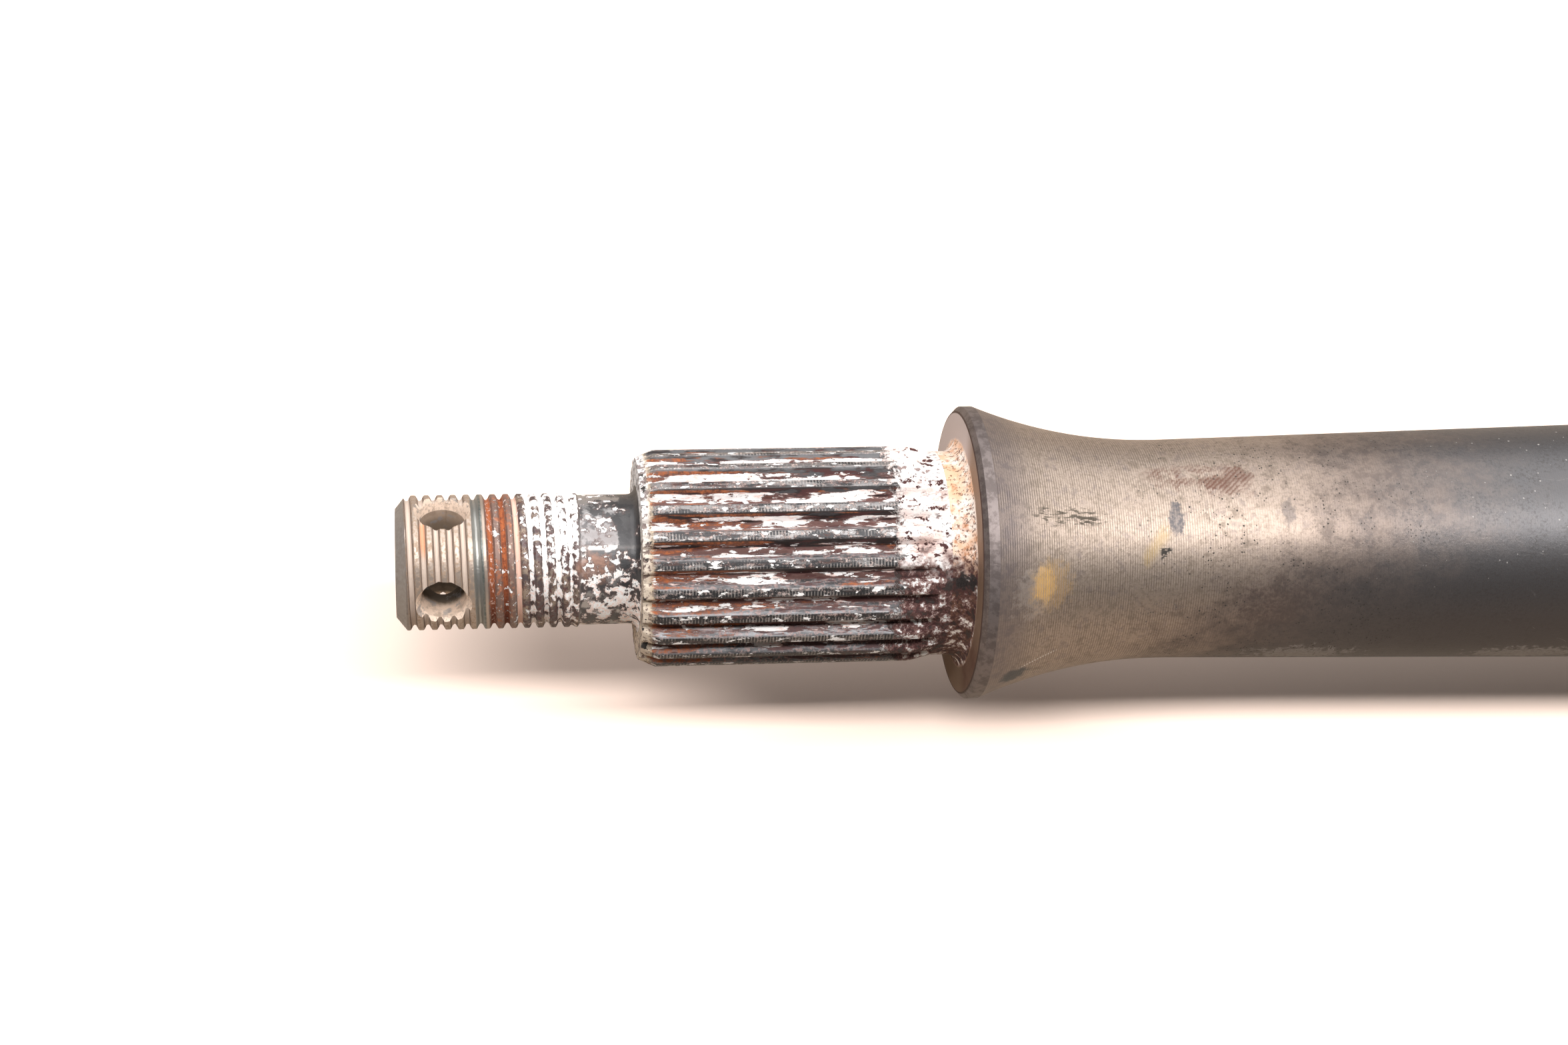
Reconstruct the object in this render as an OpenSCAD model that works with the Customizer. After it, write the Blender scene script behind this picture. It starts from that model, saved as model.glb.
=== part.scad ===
/* [Overall] */
// Length from end face to end face
axle_l = 900; // [840:1:1100]

/* [Hub nut thread] */
// Diameter over the worn crests of the thread
nut_thread_d = 15.4; // [15:0.1:19]
// Threaded length from the end face
nut_thread_l = 20.5; // [16:0.5:32]
// Length of the bevel on the end
end_bevel_l = 1.2; // [0.6:0.1:2]
// Height of the bevel on the end
end_bevel_h = 1.5; // [0.6:0.1:2]

/* [Cotter pin holes] */
// Diameter of each cross hole
cotter_d = 5.2; // [3:0.1:5.6]
// Distance of the holes from the end face
cotter_from_end = 5.3; // [4.9:0.1:9]
// Depth of the sunk mouth of each hole
cotter_sink_h = 1.05; // [0.4:0.05:1.2]
// Turn of the holes about the axle, from upright
cotter_turn = 23; // [0:1:90]

/* [Neck] */
// Diameter of the plain neck behind the thread
neck_d = 14.9; // [13:0.1:15]
// Length of the neck
neck_l = 6.9; // [4:0.1:14]
// Radius where the neck meets the spline
neck_fillet = 1; // [0.4:0.1:1.6]

/* [Hub spline] */
// Teeth of the hub spline
hub_teeth = 24; // [22:1:26]
// Module of the hub spline
hub_module = 1; // [0.94:0.02:1.08]
// Depth of its tooth spaces
hub_tooth_h = 1.3; // [1:0.05:1.5]
// Length of its full lands, with the lead-in
hub_land_l = 31.4; // [22:0.1:42]
// Length of the lead-in bevel
lead_in_l = 2; // [0.5:0.1:3]
// Height of the lead-in bevel
lead_in_h = 0.9; // [0.3:0.1:1.2]
// Length of the slope where the lands run down
land_slope_l = 2.65; // [1.2:0.05:5]
// Length of the ramp where the tooth spaces run out
space_ramp_l = 1.9; // [0.6:0.1:2.2]
// Distance from the top of that ramp to the foot of the slope
space_end_gap = 0.3; // [0.1:0.05:0.5]
// Turn of the teeth about the axle
hub_teeth_turn = 2.3; // [0:0.1:15]

/* [Hub flange] */
// Step down from the lands to the seat before the flange
seat_step = 0.65; // [0.5:0.05:0.9]
// Length of that seat, up to the flange face
seat_l = 3.45; // [2.4:0.05:8]
// Diameter of the flange
flange_d = 34.1; // [32.4:0.1:40]
// Bevel on the rim of its face
flange_bevel = 0.6; // [0.2:0.1:1]
// Radius where the seat meets the face
flange_fillet = 1.5; // [0.5:0.1:2]
// Width of the rim
rim_w = 1.8; // [1.2:0.1:5]
// Radius of the hollow flare behind the rim
flare_arc_r = 55; // [35:1:75]
// Diameter at the bottom of the flare
flare_neck_d = 25.66; // [25:0.02:28]

/* [Shank] */
// Full diameter of the shank
shank_d = 34; // [33:0.1:34.2]
// Slope of its side, in degrees
shank_slope = 1.21; // [1.12:0.01:1.8]

/* [Sprocket seat] */
// Teeth of the sprocket hub spline
sprocket_teeth = 34; // [34:1:38]
// Length of that spline
sprocket_spline_l = 32; // [20:0.5:40]
// Diameter of the shoulder that it stops at
shoulder_d = 52; // [50:0.5:60]
// Width of the shoulder
shoulder_w = 9; // [5:0.5:14]
// Bevel on its rims
shoulder_bevel = 1.2; // [0.4:0.1:2]
// Radius where the shank meets the shoulder
shoulder_fillet = 5; // [2:0.5:7]

/* [Bearing seats] */
// Diameter of the two bearing seats
journal_d = 40; // [39:0.1:40.6]
// Length of each seat
journal_l = 20; // [14:0.5:28]
// Distance between the middles of the seats
journal_span = 90; // [70:1:110]
// Depth of the waist between the seats
waist_h = 0.75; // [0.3:0.05:2]
// Bevel where a bearing slides on
journal_bevel = 0.8; // [0.3:0.1:1.5]

/* [Brake hub seat] */
// Teeth of the brake hub spline
brake_teeth = 30; // [29:1:30]
// Length of that spline
brake_spline_l = 32; // [20:0.5:44]
// Module of the brake and sprocket splines
drive_module = 1.25; // [1.24:0.005:1.27]
// Depth of their tooth spaces
drive_tooth_h = 1.2; // [1.1:0.05:1.4]
// Bevel on the ends of their teeth
drive_bevel = 1; // [0.4:0.1:1.4]
// Width of the relief at the shut end of both splines
relief_w = 3; // [2:0.1:5]
// Diameter over the crests of the lock-nut thread
lock_thread_d = 35.8; // [34.8:0.1:35.8]
// Length of the lock-nut thread
lock_thread_l = 26; // [16:0.5:34]

/* [Hidden] */
$fn = 120;

steel = "#8c8078";
pressure_angle = 30;
sink_angle = 30;
flank_steps = 3;
cut_over = 1;
root_sink = 0.3;
ramp_sink = 0.1;

// Radii
nut_r = nut_thread_d / 2;
neck_r = neck_d / 2;
hub_tip_r = hub_module * (hub_teeth + 1) / 2;
hub_root_r = hub_tip_r - hub_tooth_h;
seat_r = hub_tip_r - seat_step;
flange_r = flange_d / 2;
flare_neck_r = flare_neck_d / 2;
shank_r = shank_d / 2;
journal_r = journal_d / 2;
waist_r = journal_r - waist_h;
shoulder_r = shoulder_d / 2;
sprocket_tip_r = drive_module * (sprocket_teeth + 1) / 2;
brake_tip_r = drive_module * (brake_teeth + 1) / 2;
lock_r = lock_thread_d / 2;

// Stations of a hub end, from its end face
spline_at = nut_thread_l + neck_l;
slope_at = spline_at + hub_land_l;
seat_at = slope_at + land_slope_l;
flange_at = seat_at + seat_l;
flare_reach = sqrt(flare_arc_r ^ 2 - (flare_arc_r + flare_neck_r - flange_r) ^ 2);
flare_neck_at = flange_at + rim_w + flare_reach;
taper_at = flare_neck_at + flare_arc_r * sin(shank_slope);
taper_r = flare_neck_r + flare_arc_r * (1 - cos(shank_slope));
shank_at = taper_at + (shank_r - taper_r) / tan(shank_slope);

// Stations of the middle, from the axle's centre
journal_in = (journal_span - journal_l) / 2;
journal_out = (journal_span + journal_l) / 2;
sprocket_end = journal_out + sprocket_spline_l;
shoulder_in = sprocket_end + relief_w;
shoulder_out = shoulder_in + shoulder_w;
brake_at = journal_out + relief_w;
brake_end = brake_at + brake_spline_l;
lock_end = brake_end + lock_thread_l;
shank_end = axle_l / 2 - shank_at;

// Involute of an angle, in degrees
function involute(a) = tan(a) * 180 / PI - a;

// Half of the angle that a tooth space takes up at radius r
function half_space(r, teeth, pitch_r) =
    90 / teeth - involute(pressure_angle)
    + involute(acos(pitch_r * cos(pressure_angle) / r));

// Points along one flank of a tooth space, from radius r0 to r1
function flank(side, r0, r1, teeth, pitch_r) = [
    for (i = [0 : flank_steps])
        let (r = r0 + (r1 - r0) * i / flank_steps)
        let (a = side * half_space(r, teeth, pitch_r))
        [r * cos(a), r * sin(a)]
];

// Solid of revolution from points given as [radius, station], less rings of round section
module turned(points, hollows = []) {
    rotate_extrude() difference() {
        polygon(points);
        for (h = hollows)
            translate([h.x, h.y]) circle(h.z);
    }
}

// Toothed bar with involute flanks, its tips left over-long
module toothed_bar(teeth, tip_r, tooth_h, pitch_r, l) {
    root_r = tip_r - tooth_h;
    r0 = root_r - root_sink;
    r1 = tip_r + 2 * cut_over;
    space = concat(flank(-1, r0, r1, teeth, pitch_r), flank(1, r1, r0, teeth, pitch_r));
    linear_extrude(l) union() {
        circle(root_r);
        difference() {
            circle(tip_r + cut_over);
            for (i = [0 : teeth - 1])
                rotate((i + 0.5) * 360 / teeth) polygon(space);
        }
    }
}

// Threaded end with its bevel and the plain neck
module nut_end() {
    f = neck_fillet;
    difference() {
        turned([
            [0, 0],
            [nut_r - end_bevel_h, 0],
            [nut_r, end_bevel_l],
            [nut_r, nut_thread_l],
            [neck_r, nut_thread_l + nut_r - neck_r],
            [neck_r, spline_at - f],
            [neck_r + f, spline_at - f],
            [neck_r + f, spline_at],
            [0, spline_at]
        ], [[neck_r + f, spline_at - f, f]]);
        translate([0, 0, cotter_from_end]) cotter_holes();
    }
}

// Two cross holes at right angles, with sunk mouths
module cotter_holes() {
    mouth_d = cotter_d + 4 * cotter_sink_h * tan(sink_angle);
    for (a = [0, 90])
        rotate([0, 90, a - cotter_turn])
            cylinder(h = nut_thread_d + 2 * cut_over, d = cotter_d, center = true);
    for (a = [0 : 90 : 270])
        rotate([0, 90, a - cotter_turn]) translate([0, 0, nut_r - cotter_sink_h])
            cylinder(h = 2 * cotter_sink_h, d1 = cotter_d, d2 = mouth_d);
}

// Splined seat of the wheel hub, its teeth bevelled in and sloped out
module hub_spline() {
    slope = seat_step / land_slope_l;
    tail_h = (seat_step + hub_tooth_h) / 2;
    tail_l = tail_h / slope;
    intersection() {
        translate([0, 0, spline_at]) rotate(hub_teeth_turn)
            toothed_bar(hub_teeth, hub_tip_r, hub_tooth_h, hub_module * hub_teeth / 2, hub_land_l + tail_l);
        turned([
            [0, spline_at],
            [hub_tip_r - lead_in_h, spline_at],
            [hub_tip_r, spline_at + lead_in_l],
            [hub_tip_r, slope_at],
            [hub_tip_r - tail_h, slope_at + tail_l],
            [0, slope_at + tail_l]
        ]);
    }
}

// Ramp under the tooth spaces, plain seat, and thrust flange with its hollow flare
module hub_flange() {
    f = flange_fillet;
    ramp_top = seat_at - space_end_gap;
    turned([
        [0, ramp_top - space_ramp_l],
        [hub_root_r - ramp_sink, ramp_top - space_ramp_l],
        [seat_r, ramp_top],
        [seat_r, flange_at - f],
        [seat_r + f, flange_at - f],
        [seat_r + f, flange_at],
        [flange_r - flange_bevel, flange_at],
        [flange_r, flange_at + flange_bevel],
        [flange_r, taper_at],
        [0, taper_at]
    ], [
        [seat_r + f, flange_at - f, f],
        [flare_neck_r + flare_arc_r, flare_neck_at, flare_arc_r]
    ]);
}

// One end of the axle, from its end face up to the full shank
module hub_end() {
    nut_end();
    hub_spline();
    hub_flange();
    turned([[0, taper_at], [taper_r, taper_at], [shank_r, shank_at], [0, shank_at]]);
}

// Spline of the middle from station s0 to s1, bevelled at both ends
module drive_spline(teeth, tip_r, s0, s1) {
    b = drive_bevel;
    intersection() {
        translate([0, 0, s0])
            toothed_bar(teeth, tip_r, drive_tooth_h, drive_module * teeth / 2, s1 - s0);
        turned([
            [0, s0],
            [tip_r - b, s0],
            [tip_r, s0 + b],
            [tip_r, s1 - b],
            [tip_r - b, s1],
            [0, s1]
        ]);
    }
}

// Shank's full end, shoulder, and the splined seat that the sprocket hub slides on
module sprocket_seat() {
    f = shoulder_fillet;
    root_r = sprocket_tip_r - drive_tooth_h;
    turned([
        [0, -shank_end],
        [shank_r, -shank_end],
        [shank_r, -shoulder_out - f],
        [shank_r + f, -shoulder_out - f],
        [shank_r + f, -shoulder_out],
        [shoulder_r - shoulder_bevel, -shoulder_out],
        [shoulder_r, -shoulder_out + shoulder_bevel],
        [shoulder_r, -shoulder_in - shoulder_bevel],
        [shoulder_r - shoulder_bevel, -shoulder_in],
        [root_r, -shoulder_in],
        [root_r, -sprocket_end],
        [0, -sprocket_end]
    ], [[shank_r + f, -shoulder_out - f, f]]);
    drive_spline(sprocket_teeth, sprocket_tip_r, -sprocket_end, -journal_out);
}

// Two bearing seats, bevelled where the bearings slide on, with a waist between them
module bearing_seats() {
    b = journal_bevel;
    turned([
        [0, -journal_out],
        [journal_r, -journal_out],
        [journal_r, -journal_in - b],
        [journal_r - b, -journal_in],
        [waist_r, -journal_in],
        [waist_r, journal_in],
        [journal_r, journal_in],
        [journal_r, journal_out - b],
        [journal_r - b, journal_out],
        [0, journal_out]
    ]);
}

// Splined seat of the brake hub, lock-nut thread and the other shank's full end
module brake_seat() {
    root_r = brake_tip_r - drive_tooth_h;
    thread_bevel = lock_r - shank_r;
    turned([[0, journal_out], [root_r, journal_out], [root_r, brake_at], [0, brake_at]]);
    drive_spline(brake_teeth, brake_tip_r, brake_at, brake_end);
    turned([
        [0, brake_end],
        [lock_r, brake_end],
        [lock_r, lock_end - thread_bevel],
        [shank_r, lock_end],
        [shank_r, shank_end],
        [0, shank_end]
    ]);
}

// Whole axle, turned and splined from one bar
module axle() {
    color(steel) rotate([0, 90, 0]) {
        translate([0, 0, -axle_l / 2]) hub_end();
        mirror([0, 0, 1]) translate([0, 0, -axle_l / 2]) hub_end();
        sprocket_seat();
        bearing_seats();
        brake_seat();
    }
}

axle();
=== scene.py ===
"""Looks of a solid rear axle: one turned skin with real threads and splines, in worn and rusty steel.

Sizes are in millimetres and become metres when the mesh is made. A station is a distance from an end face.
Angles around the axle are in degrees, from straight up towards the camera's side.
"""

import logging
import math
from dataclasses import dataclass
from enum import Enum
from typing import Union

import bpy
import numpy as np
from mathutils import Matrix, Vector

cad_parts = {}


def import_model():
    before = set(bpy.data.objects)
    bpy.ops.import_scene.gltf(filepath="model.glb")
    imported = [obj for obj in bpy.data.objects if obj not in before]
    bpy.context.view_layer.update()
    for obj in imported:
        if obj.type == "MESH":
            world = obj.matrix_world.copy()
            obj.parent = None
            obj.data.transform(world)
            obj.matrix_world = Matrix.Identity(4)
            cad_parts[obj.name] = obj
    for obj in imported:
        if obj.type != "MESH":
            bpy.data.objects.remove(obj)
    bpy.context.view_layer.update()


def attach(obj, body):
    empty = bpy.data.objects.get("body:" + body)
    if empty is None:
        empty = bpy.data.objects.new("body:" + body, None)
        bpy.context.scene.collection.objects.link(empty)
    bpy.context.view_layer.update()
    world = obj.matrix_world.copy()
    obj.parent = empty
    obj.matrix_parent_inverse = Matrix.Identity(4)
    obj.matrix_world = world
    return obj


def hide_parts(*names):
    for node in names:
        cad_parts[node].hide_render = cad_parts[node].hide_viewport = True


LOG = logging.getLogger("rear_axle")
MM = 0.001
HALF_L = 450.0
SEAM = 189.8
BAKE_MAP = "OFBake"

Colour = tuple[float, float, float, float]
Span = tuple[float, float]
Setting = str | float | bool | bpy.types.NodeTree
Value = Union["Field", float, tuple[float, ...]]


class Side(Enum):
    """End of the axle that a hub end stands at."""

    LEFT = -1
    RIGHT = 1

    def along(self, station: np.ndarray | float) -> np.ndarray:
        """Place along the axle of stations counted from this end's face."""
        return self.value * (HALF_L - np.asarray(station, float))


class Finish(Enum):
    """Finishes of the skin, in the order of the mesh's material slots."""

    NUT_END = 0
    SPLINE = 1
    FLANGE = 2
    SHANK = 3
    MIDDLE = 4
    BORE = 5


class Strip(Enum):
    """Stretch of the bake map that a run of bands is unrolled on: its left, right, low and high edges."""

    LEFT_END = (0.004, 0.996, 0.640, 0.950)
    RIGHT_END = (0.004, 0.996, 0.320, 0.630)
    MIDDLE = (0.004, 0.996, 0.004, 0.310)
    BORES = (0.004, 0.996, 0.960, 0.996)


@dataclass(frozen=True)
class Band:
    """Rings with one count of points and one finish.

    along and radius hold one row per ring and one column per angle. around holds the angles, from the seam.
    """

    along: np.ndarray
    around: np.ndarray
    radius: np.ndarray
    finish: Finish
    strip: Strip

    def points(self) -> np.ndarray:
        """Points of the rings: each radius turned by its angle, from up towards the camera's side."""
        turn = np.radians(self.around)[None, :]
        return np.stack([self.along, -self.radius * np.sin(turn), self.radius * np.cos(turn)], axis=-1)

    def reach(self) -> np.ndarray:
        """Mean place along the axle and mean radius of each ring."""
        return np.stack([self.along.mean(axis=1), self.radius.mean(axis=1)], axis=1)

    def turned_round(self) -> "Band":
        """Same band with its rings in the other order."""
        return Band(self.along[::-1], self.around, self.radius[::-1], self.finish, self.strip)


def turned_band(profile: np.ndarray, count: int, finish: Finish, strip: Strip) -> Band:
    """Makes a plain turned band: every ring has one place along the axle and one radius.

    Args:
        profile: One row of place along the axle and radius for each ring.
        count: Points in a ring, evenly spread.
        finish: Finish of the band.
        strip: Its stretch of the bake map.

    Returns:
        The band.
    """
    profile = np.asarray(profile, float)
    around = SEAM + 360.0 * np.arange(count) / count
    along = np.repeat(profile[:, :1], count, axis=1)
    radius = np.repeat(profile[:, 1:], count, axis=1)
    return Band(along, around, radius, finish, strip)


def arc(centre: Span, r: float, start: float, end: float, steps: int) -> np.ndarray:
    """Works out points on an arc of a turned profile: the centre plus the radius turned through even angles.

    Args:
        centre: Station and radius of the arc's centre.
        r: Radius of the arc.
        start: First angle, in degrees from the axle's direction.
        end: Last angle.
        steps: Number of chords.

    Returns:
        One row of station and radius for each point.
    """
    turn = np.radians(np.linspace(start, end, steps + 1))
    return np.stack([centre[0] + r * np.cos(turn), centre[1] + r * np.sin(turn)], axis=1)


def eased(value: np.ndarray) -> np.ndarray:
    """Smooth step from 0 to 1: three times the square less twice the cube."""
    value = np.clip(value, 0.0, 1.0)
    return value * value * (3.0 - 2.0 * value)


class Skin:
    """Closed skin, laid band by band from its left end to its right end."""

    def __init__(self) -> None:
        """Starts with no points and no faces."""
        self.points: list[np.ndarray] = []
        self.paths: list[np.ndarray] = []
        self.faces: list[np.ndarray] = []
        self.turns: list[np.ndarray] = []
        self.bands: list[tuple[int, Band]] = []
        self.count = 0
        self.path = 0.0
        self.ring: np.ndarray | None = None
        self.last: Band | None = None

    def add_points(self, points: np.ndarray, paths: np.ndarray) -> np.ndarray:
        """Keeps points with their distance along the profile, and returns their numbers."""
        index = self.count + np.arange(len(points))
        self.points.append(points)
        self.paths.append(paths)
        self.count += len(points)
        return index

    def add_faces(self, faces: np.ndarray, turns: np.ndarray, band: Band) -> None:
        """Keeps faces, the angle of each corner from the seam, and the band that they belong to."""
        self.faces.append(faces)
        self.turns.append(turns)
        self.bands.append((len(faces), band))

    def lay(self, band: Band) -> None:
        """Adds a band: the first one is closed at its start, and any other is zipped to the last ring."""
        rows, cols = band.radius.shape
        reach = band.reach()
        if self.last is None:
            self.path = float(reach[0, 1])
        else:
            self.path += float(np.linalg.norm(reach[0] - self.last.reach()[-1]))
        steps = np.linalg.norm(np.diff(reach, axis=0), axis=1)
        paths = self.path + np.append(0.0, np.cumsum(steps))
        index = self.add_points(band.points().reshape(-1, 3), np.repeat(paths, cols)).reshape(rows, cols)
        if self.last is None:
            self.cap(index[0], band, 0.0, True)
        else:
            self.zip_to(index[0], band)
        after = np.roll(np.arange(cols), -1)
        quads = np.stack([index[:-1], index[:-1][:, after], index[1:][:, after], index[1:]], axis=-1)
        low = band.around - SEAM
        high = np.append(low[1:], 360.0)
        turns = np.broadcast_to(np.stack([low, high, high, low], axis=-1), quads.shape)
        self.add_faces(quads.reshape(-1, 4), turns.reshape(-1, 4), band)
        self.path = float(paths[-1])
        self.ring, self.last = index[-1], band

    def zip_to(self, ring: np.ndarray, band: Band) -> None:
        """Joins the last ring to the next one with triangles.

        Both rings start at the seam. Each step along one ring makes a triangle with the point that the other
        ring has reached by that angle.

        Args:
            ring: Point numbers of the next band's first ring.
            band: The next band.
        """
        a = np.append(self.last.around - SEAM, 360.0)
        b = np.append(band.around - SEAM, 360.0)
        ring_a = np.append(self.ring, self.ring[0])
        ring_b = np.append(ring, ring[0])
        met_b = np.searchsorted(b, a[1:], side="right") - 1
        met_a = np.searchsorted(a, b[1:], side="left") - 1
        by_a = np.stack([ring_a[:-1], ring_a[1:], ring_b[met_b]], axis=1)
        by_b = np.stack([ring_a[met_a], ring_b[1:], ring_b[:-1]], axis=1)
        turns_a = np.stack([a[:-1], a[1:], b[met_b]], axis=1)
        turns_b = np.stack([a[met_a], b[1:], b[:-1]], axis=1)
        self.add_faces(np.concatenate([by_a, by_b]), np.concatenate([turns_a, turns_b]), band)

    def cap(self, ring: np.ndarray, band: Band, path: float, at_start: bool) -> None:
        """Closes an end with a fan of triangles from a middle point.

        Args:
            ring: Point numbers of the end's ring.
            band: Band that the ring belongs to.
            path: Distance of the middle point along the profile.
            at_start: True at the left end, where the fan faces left.
        """
        place = band.along[0 if at_start else -1].mean()
        middle = self.add_points(np.array([[place, 0.0, 0.0]]), np.array([path]))[0]
        low = band.around - SEAM
        high = np.append(low[1:], 360.0)
        fan = [np.full(len(ring), middle), ring, np.roll(ring, -1)]
        turns = [(low + high) / 2.0, low, high]
        order = [0, 2, 1] if at_start else [0, 1, 2]
        self.add_faces(np.stack(fan, axis=1)[:, order], np.stack(turns, axis=1)[:, order], band)

    def mesh(self, name: str) -> bpy.types.Mesh:
        """Closes the right end and makes the mesh, with its finishes and its bake map.

        On the map, the distance along the profile runs across a strip and the angle runs up it.

        Args:
            name: Name of the mesh.

        Returns:
            The mesh, in metres.
        """
        self.cap(self.ring, self.last, self.path + float(self.last.reach()[-1, 1]), False)
        points = np.concatenate(self.points) * MM
        sizes = np.concatenate([np.full(len(f), f.shape[1]) for f in self.faces])
        corners = np.concatenate([f.ravel() for f in self.faces]).astype(np.int32)
        made = bpy.data.meshes.new(name)
        made.vertices.add(len(points))
        made.vertices.foreach_set("co", points.astype(np.float32).ravel())
        made.loops.add(len(corners))
        made.loops.foreach_set("vertex_index", corners)
        made.polygons.add(len(sizes))
        made.polygons.foreach_set("loop_start", (np.cumsum(sizes) - sizes).astype(np.int32))
        finishes = np.concatenate([np.full(n, band.finish.value) for n, band in self.bands])
        made.polygons.foreach_set("material_index", finishes.astype(np.int32))
        made.update(calc_edges=True)
        places = np.concatenate([np.full(len(f) * f.shape[1], i) for i, f in enumerate(self.faces)])
        strips = np.array([list(Strip).index(band.strip) for _, band in self.bands])[places]
        path = np.concatenate(self.paths)[corners]
        turn = np.concatenate([t.ravel() for t in self.turns]) / 360.0
        uv = np.zeros((len(corners), 2))
        for i, strip in enumerate(Strip):
            worn = strips == i
            if worn.any():
                left, right, low, high = strip.value
                span = np.ptp(path[worn])
                uv[worn, 0] = left + (right - left) * (path[worn] - path[worn].min()) / span
                uv[worn, 1] = low + (high - low) * turn[worn]
        made.uv_layers.new(name=BAKE_MAP).uv.foreach_set("vector", uv.astype(np.float32).ravel())
        return made


@dataclass(frozen=True)
class Thread:
    """Worn screw thread: flat crests, sloped flanks and rounded roots on a right-hand helix."""

    crest_r: float
    depth: float
    phase: float
    pitch: float = 1.5
    crest_w: float = 0.44
    root_w: float = 0.16

    def radius(self, along: np.ndarray, around: np.ndarray) -> np.ndarray:
        """Works out the radius on the helix: it sinks smoothly with the distance from the nearest crest.

        Args:
            along: Places along the axle.
            around: Angles.

        Returns:
            The radius at each place and angle.
        """
        turn = along / self.pitch - around / 360.0 + self.phase
        off = np.abs((turn + 0.5) % 1.0 - 0.5) * self.pitch
        run = (self.pitch - self.crest_w - self.root_w) / 2.0
        return self.crest_r - self.depth * eased((off - self.crest_w / 2.0) / run)


@dataclass(frozen=True)
class ToothForm:
    """Involute spline teeth, with lands that are worn at their edges."""

    teeth: int
    module: float
    depth: float
    turn: float
    pressure: float = 30.0
    edge_wear: float = 0.05

    @property
    def tip_r(self) -> float:
        """Radius of the lands."""
        return self.module * (self.teeth + 1) / 2.0

    @property
    def root_r(self) -> float:
        """Radius of the roots."""
        return self.tip_r - self.depth

    def half_tooth(self, r: np.ndarray | float) -> np.ndarray:
        """Half angle of a tooth at a radius: half a pitch at the pitch circle, less the involute's gain."""
        base_r = self.module * self.teeth / 2.0 * math.cos(math.radians(self.pressure))
        slope = np.degrees(np.arccos(base_r / r))
        gain = np.degrees(np.tan(np.radians([self.pressure]))) - self.pressure
        return 90.0 / self.teeth + gain - (np.degrees(np.tan(np.radians(slope))) - slope)

    def angles(self) -> np.ndarray:
        """Angles of the columns: close together on the edges and flanks of teeth, and one at the seam."""
        tip, root = float(self.half_tooth(self.tip_r)[0]), float(self.half_tooth(self.root_r)[0])
        half = 180.0 / self.teeth
        flank = root - tip
        near = np.array([0.55 * tip, 0.88 * tip, 1.03 * tip, tip + 0.3 * flank, tip + 0.65 * flank, root])
        offsets = np.concatenate([[0.0, half], near, -near, [(root + half) / 2.0, -(root + half) / 2.0]])
        every = self.turn + offsets[None, :] + 2.0 * half * np.arange(self.teeth)[:, None]
        return np.unique(np.append(SEAM + np.round((every.ravel() - SEAM) % 360.0, 5) % 360.0, SEAM))

    def radius(self, around: np.ndarray) -> np.ndarray:
        """Works out the radius of lands, involute flanks and roots by the angle from a land's middle.

        Args:
            around: Angles.

        Returns:
            The radius at each angle.
        """
        half = 180.0 / self.teeth
        off = np.abs((around - self.turn + half) % (2.0 * half) - half)
        r = np.linspace(self.tip_r, self.root_r, 13)
        tooth = np.interp(off, self.half_tooth(r), r)
        edge = np.clip((off / float(self.half_tooth(self.tip_r)[0]) - 0.85) / 0.15, 0.0, 1.0)
        return np.minimum(tooth, self.tip_r - self.edge_wear * edge**2)

    def band(
        self, along: np.ndarray, top: np.ndarray, floor: np.ndarray, finish: Finish, strip: Strip
    ) -> Band:
        """Makes a toothed band: the teeth cut down to a top radius and raised to a floor radius.

        Args:
            along: Place of each ring.
            top: Highest radius of each ring.
            floor: Lowest radius of each ring.
            finish: Finish of the band.
            strip: Its stretch of the bake map.

        Returns:
            The band.
        """
        around = self.angles()
        radius = np.minimum(self.radius(around)[None, :], top[:, None])
        radius = np.maximum(radius, floor[:, None])
        return Band(np.repeat(along[:, None], len(around), axis=1), around, radius, finish, strip)


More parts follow.
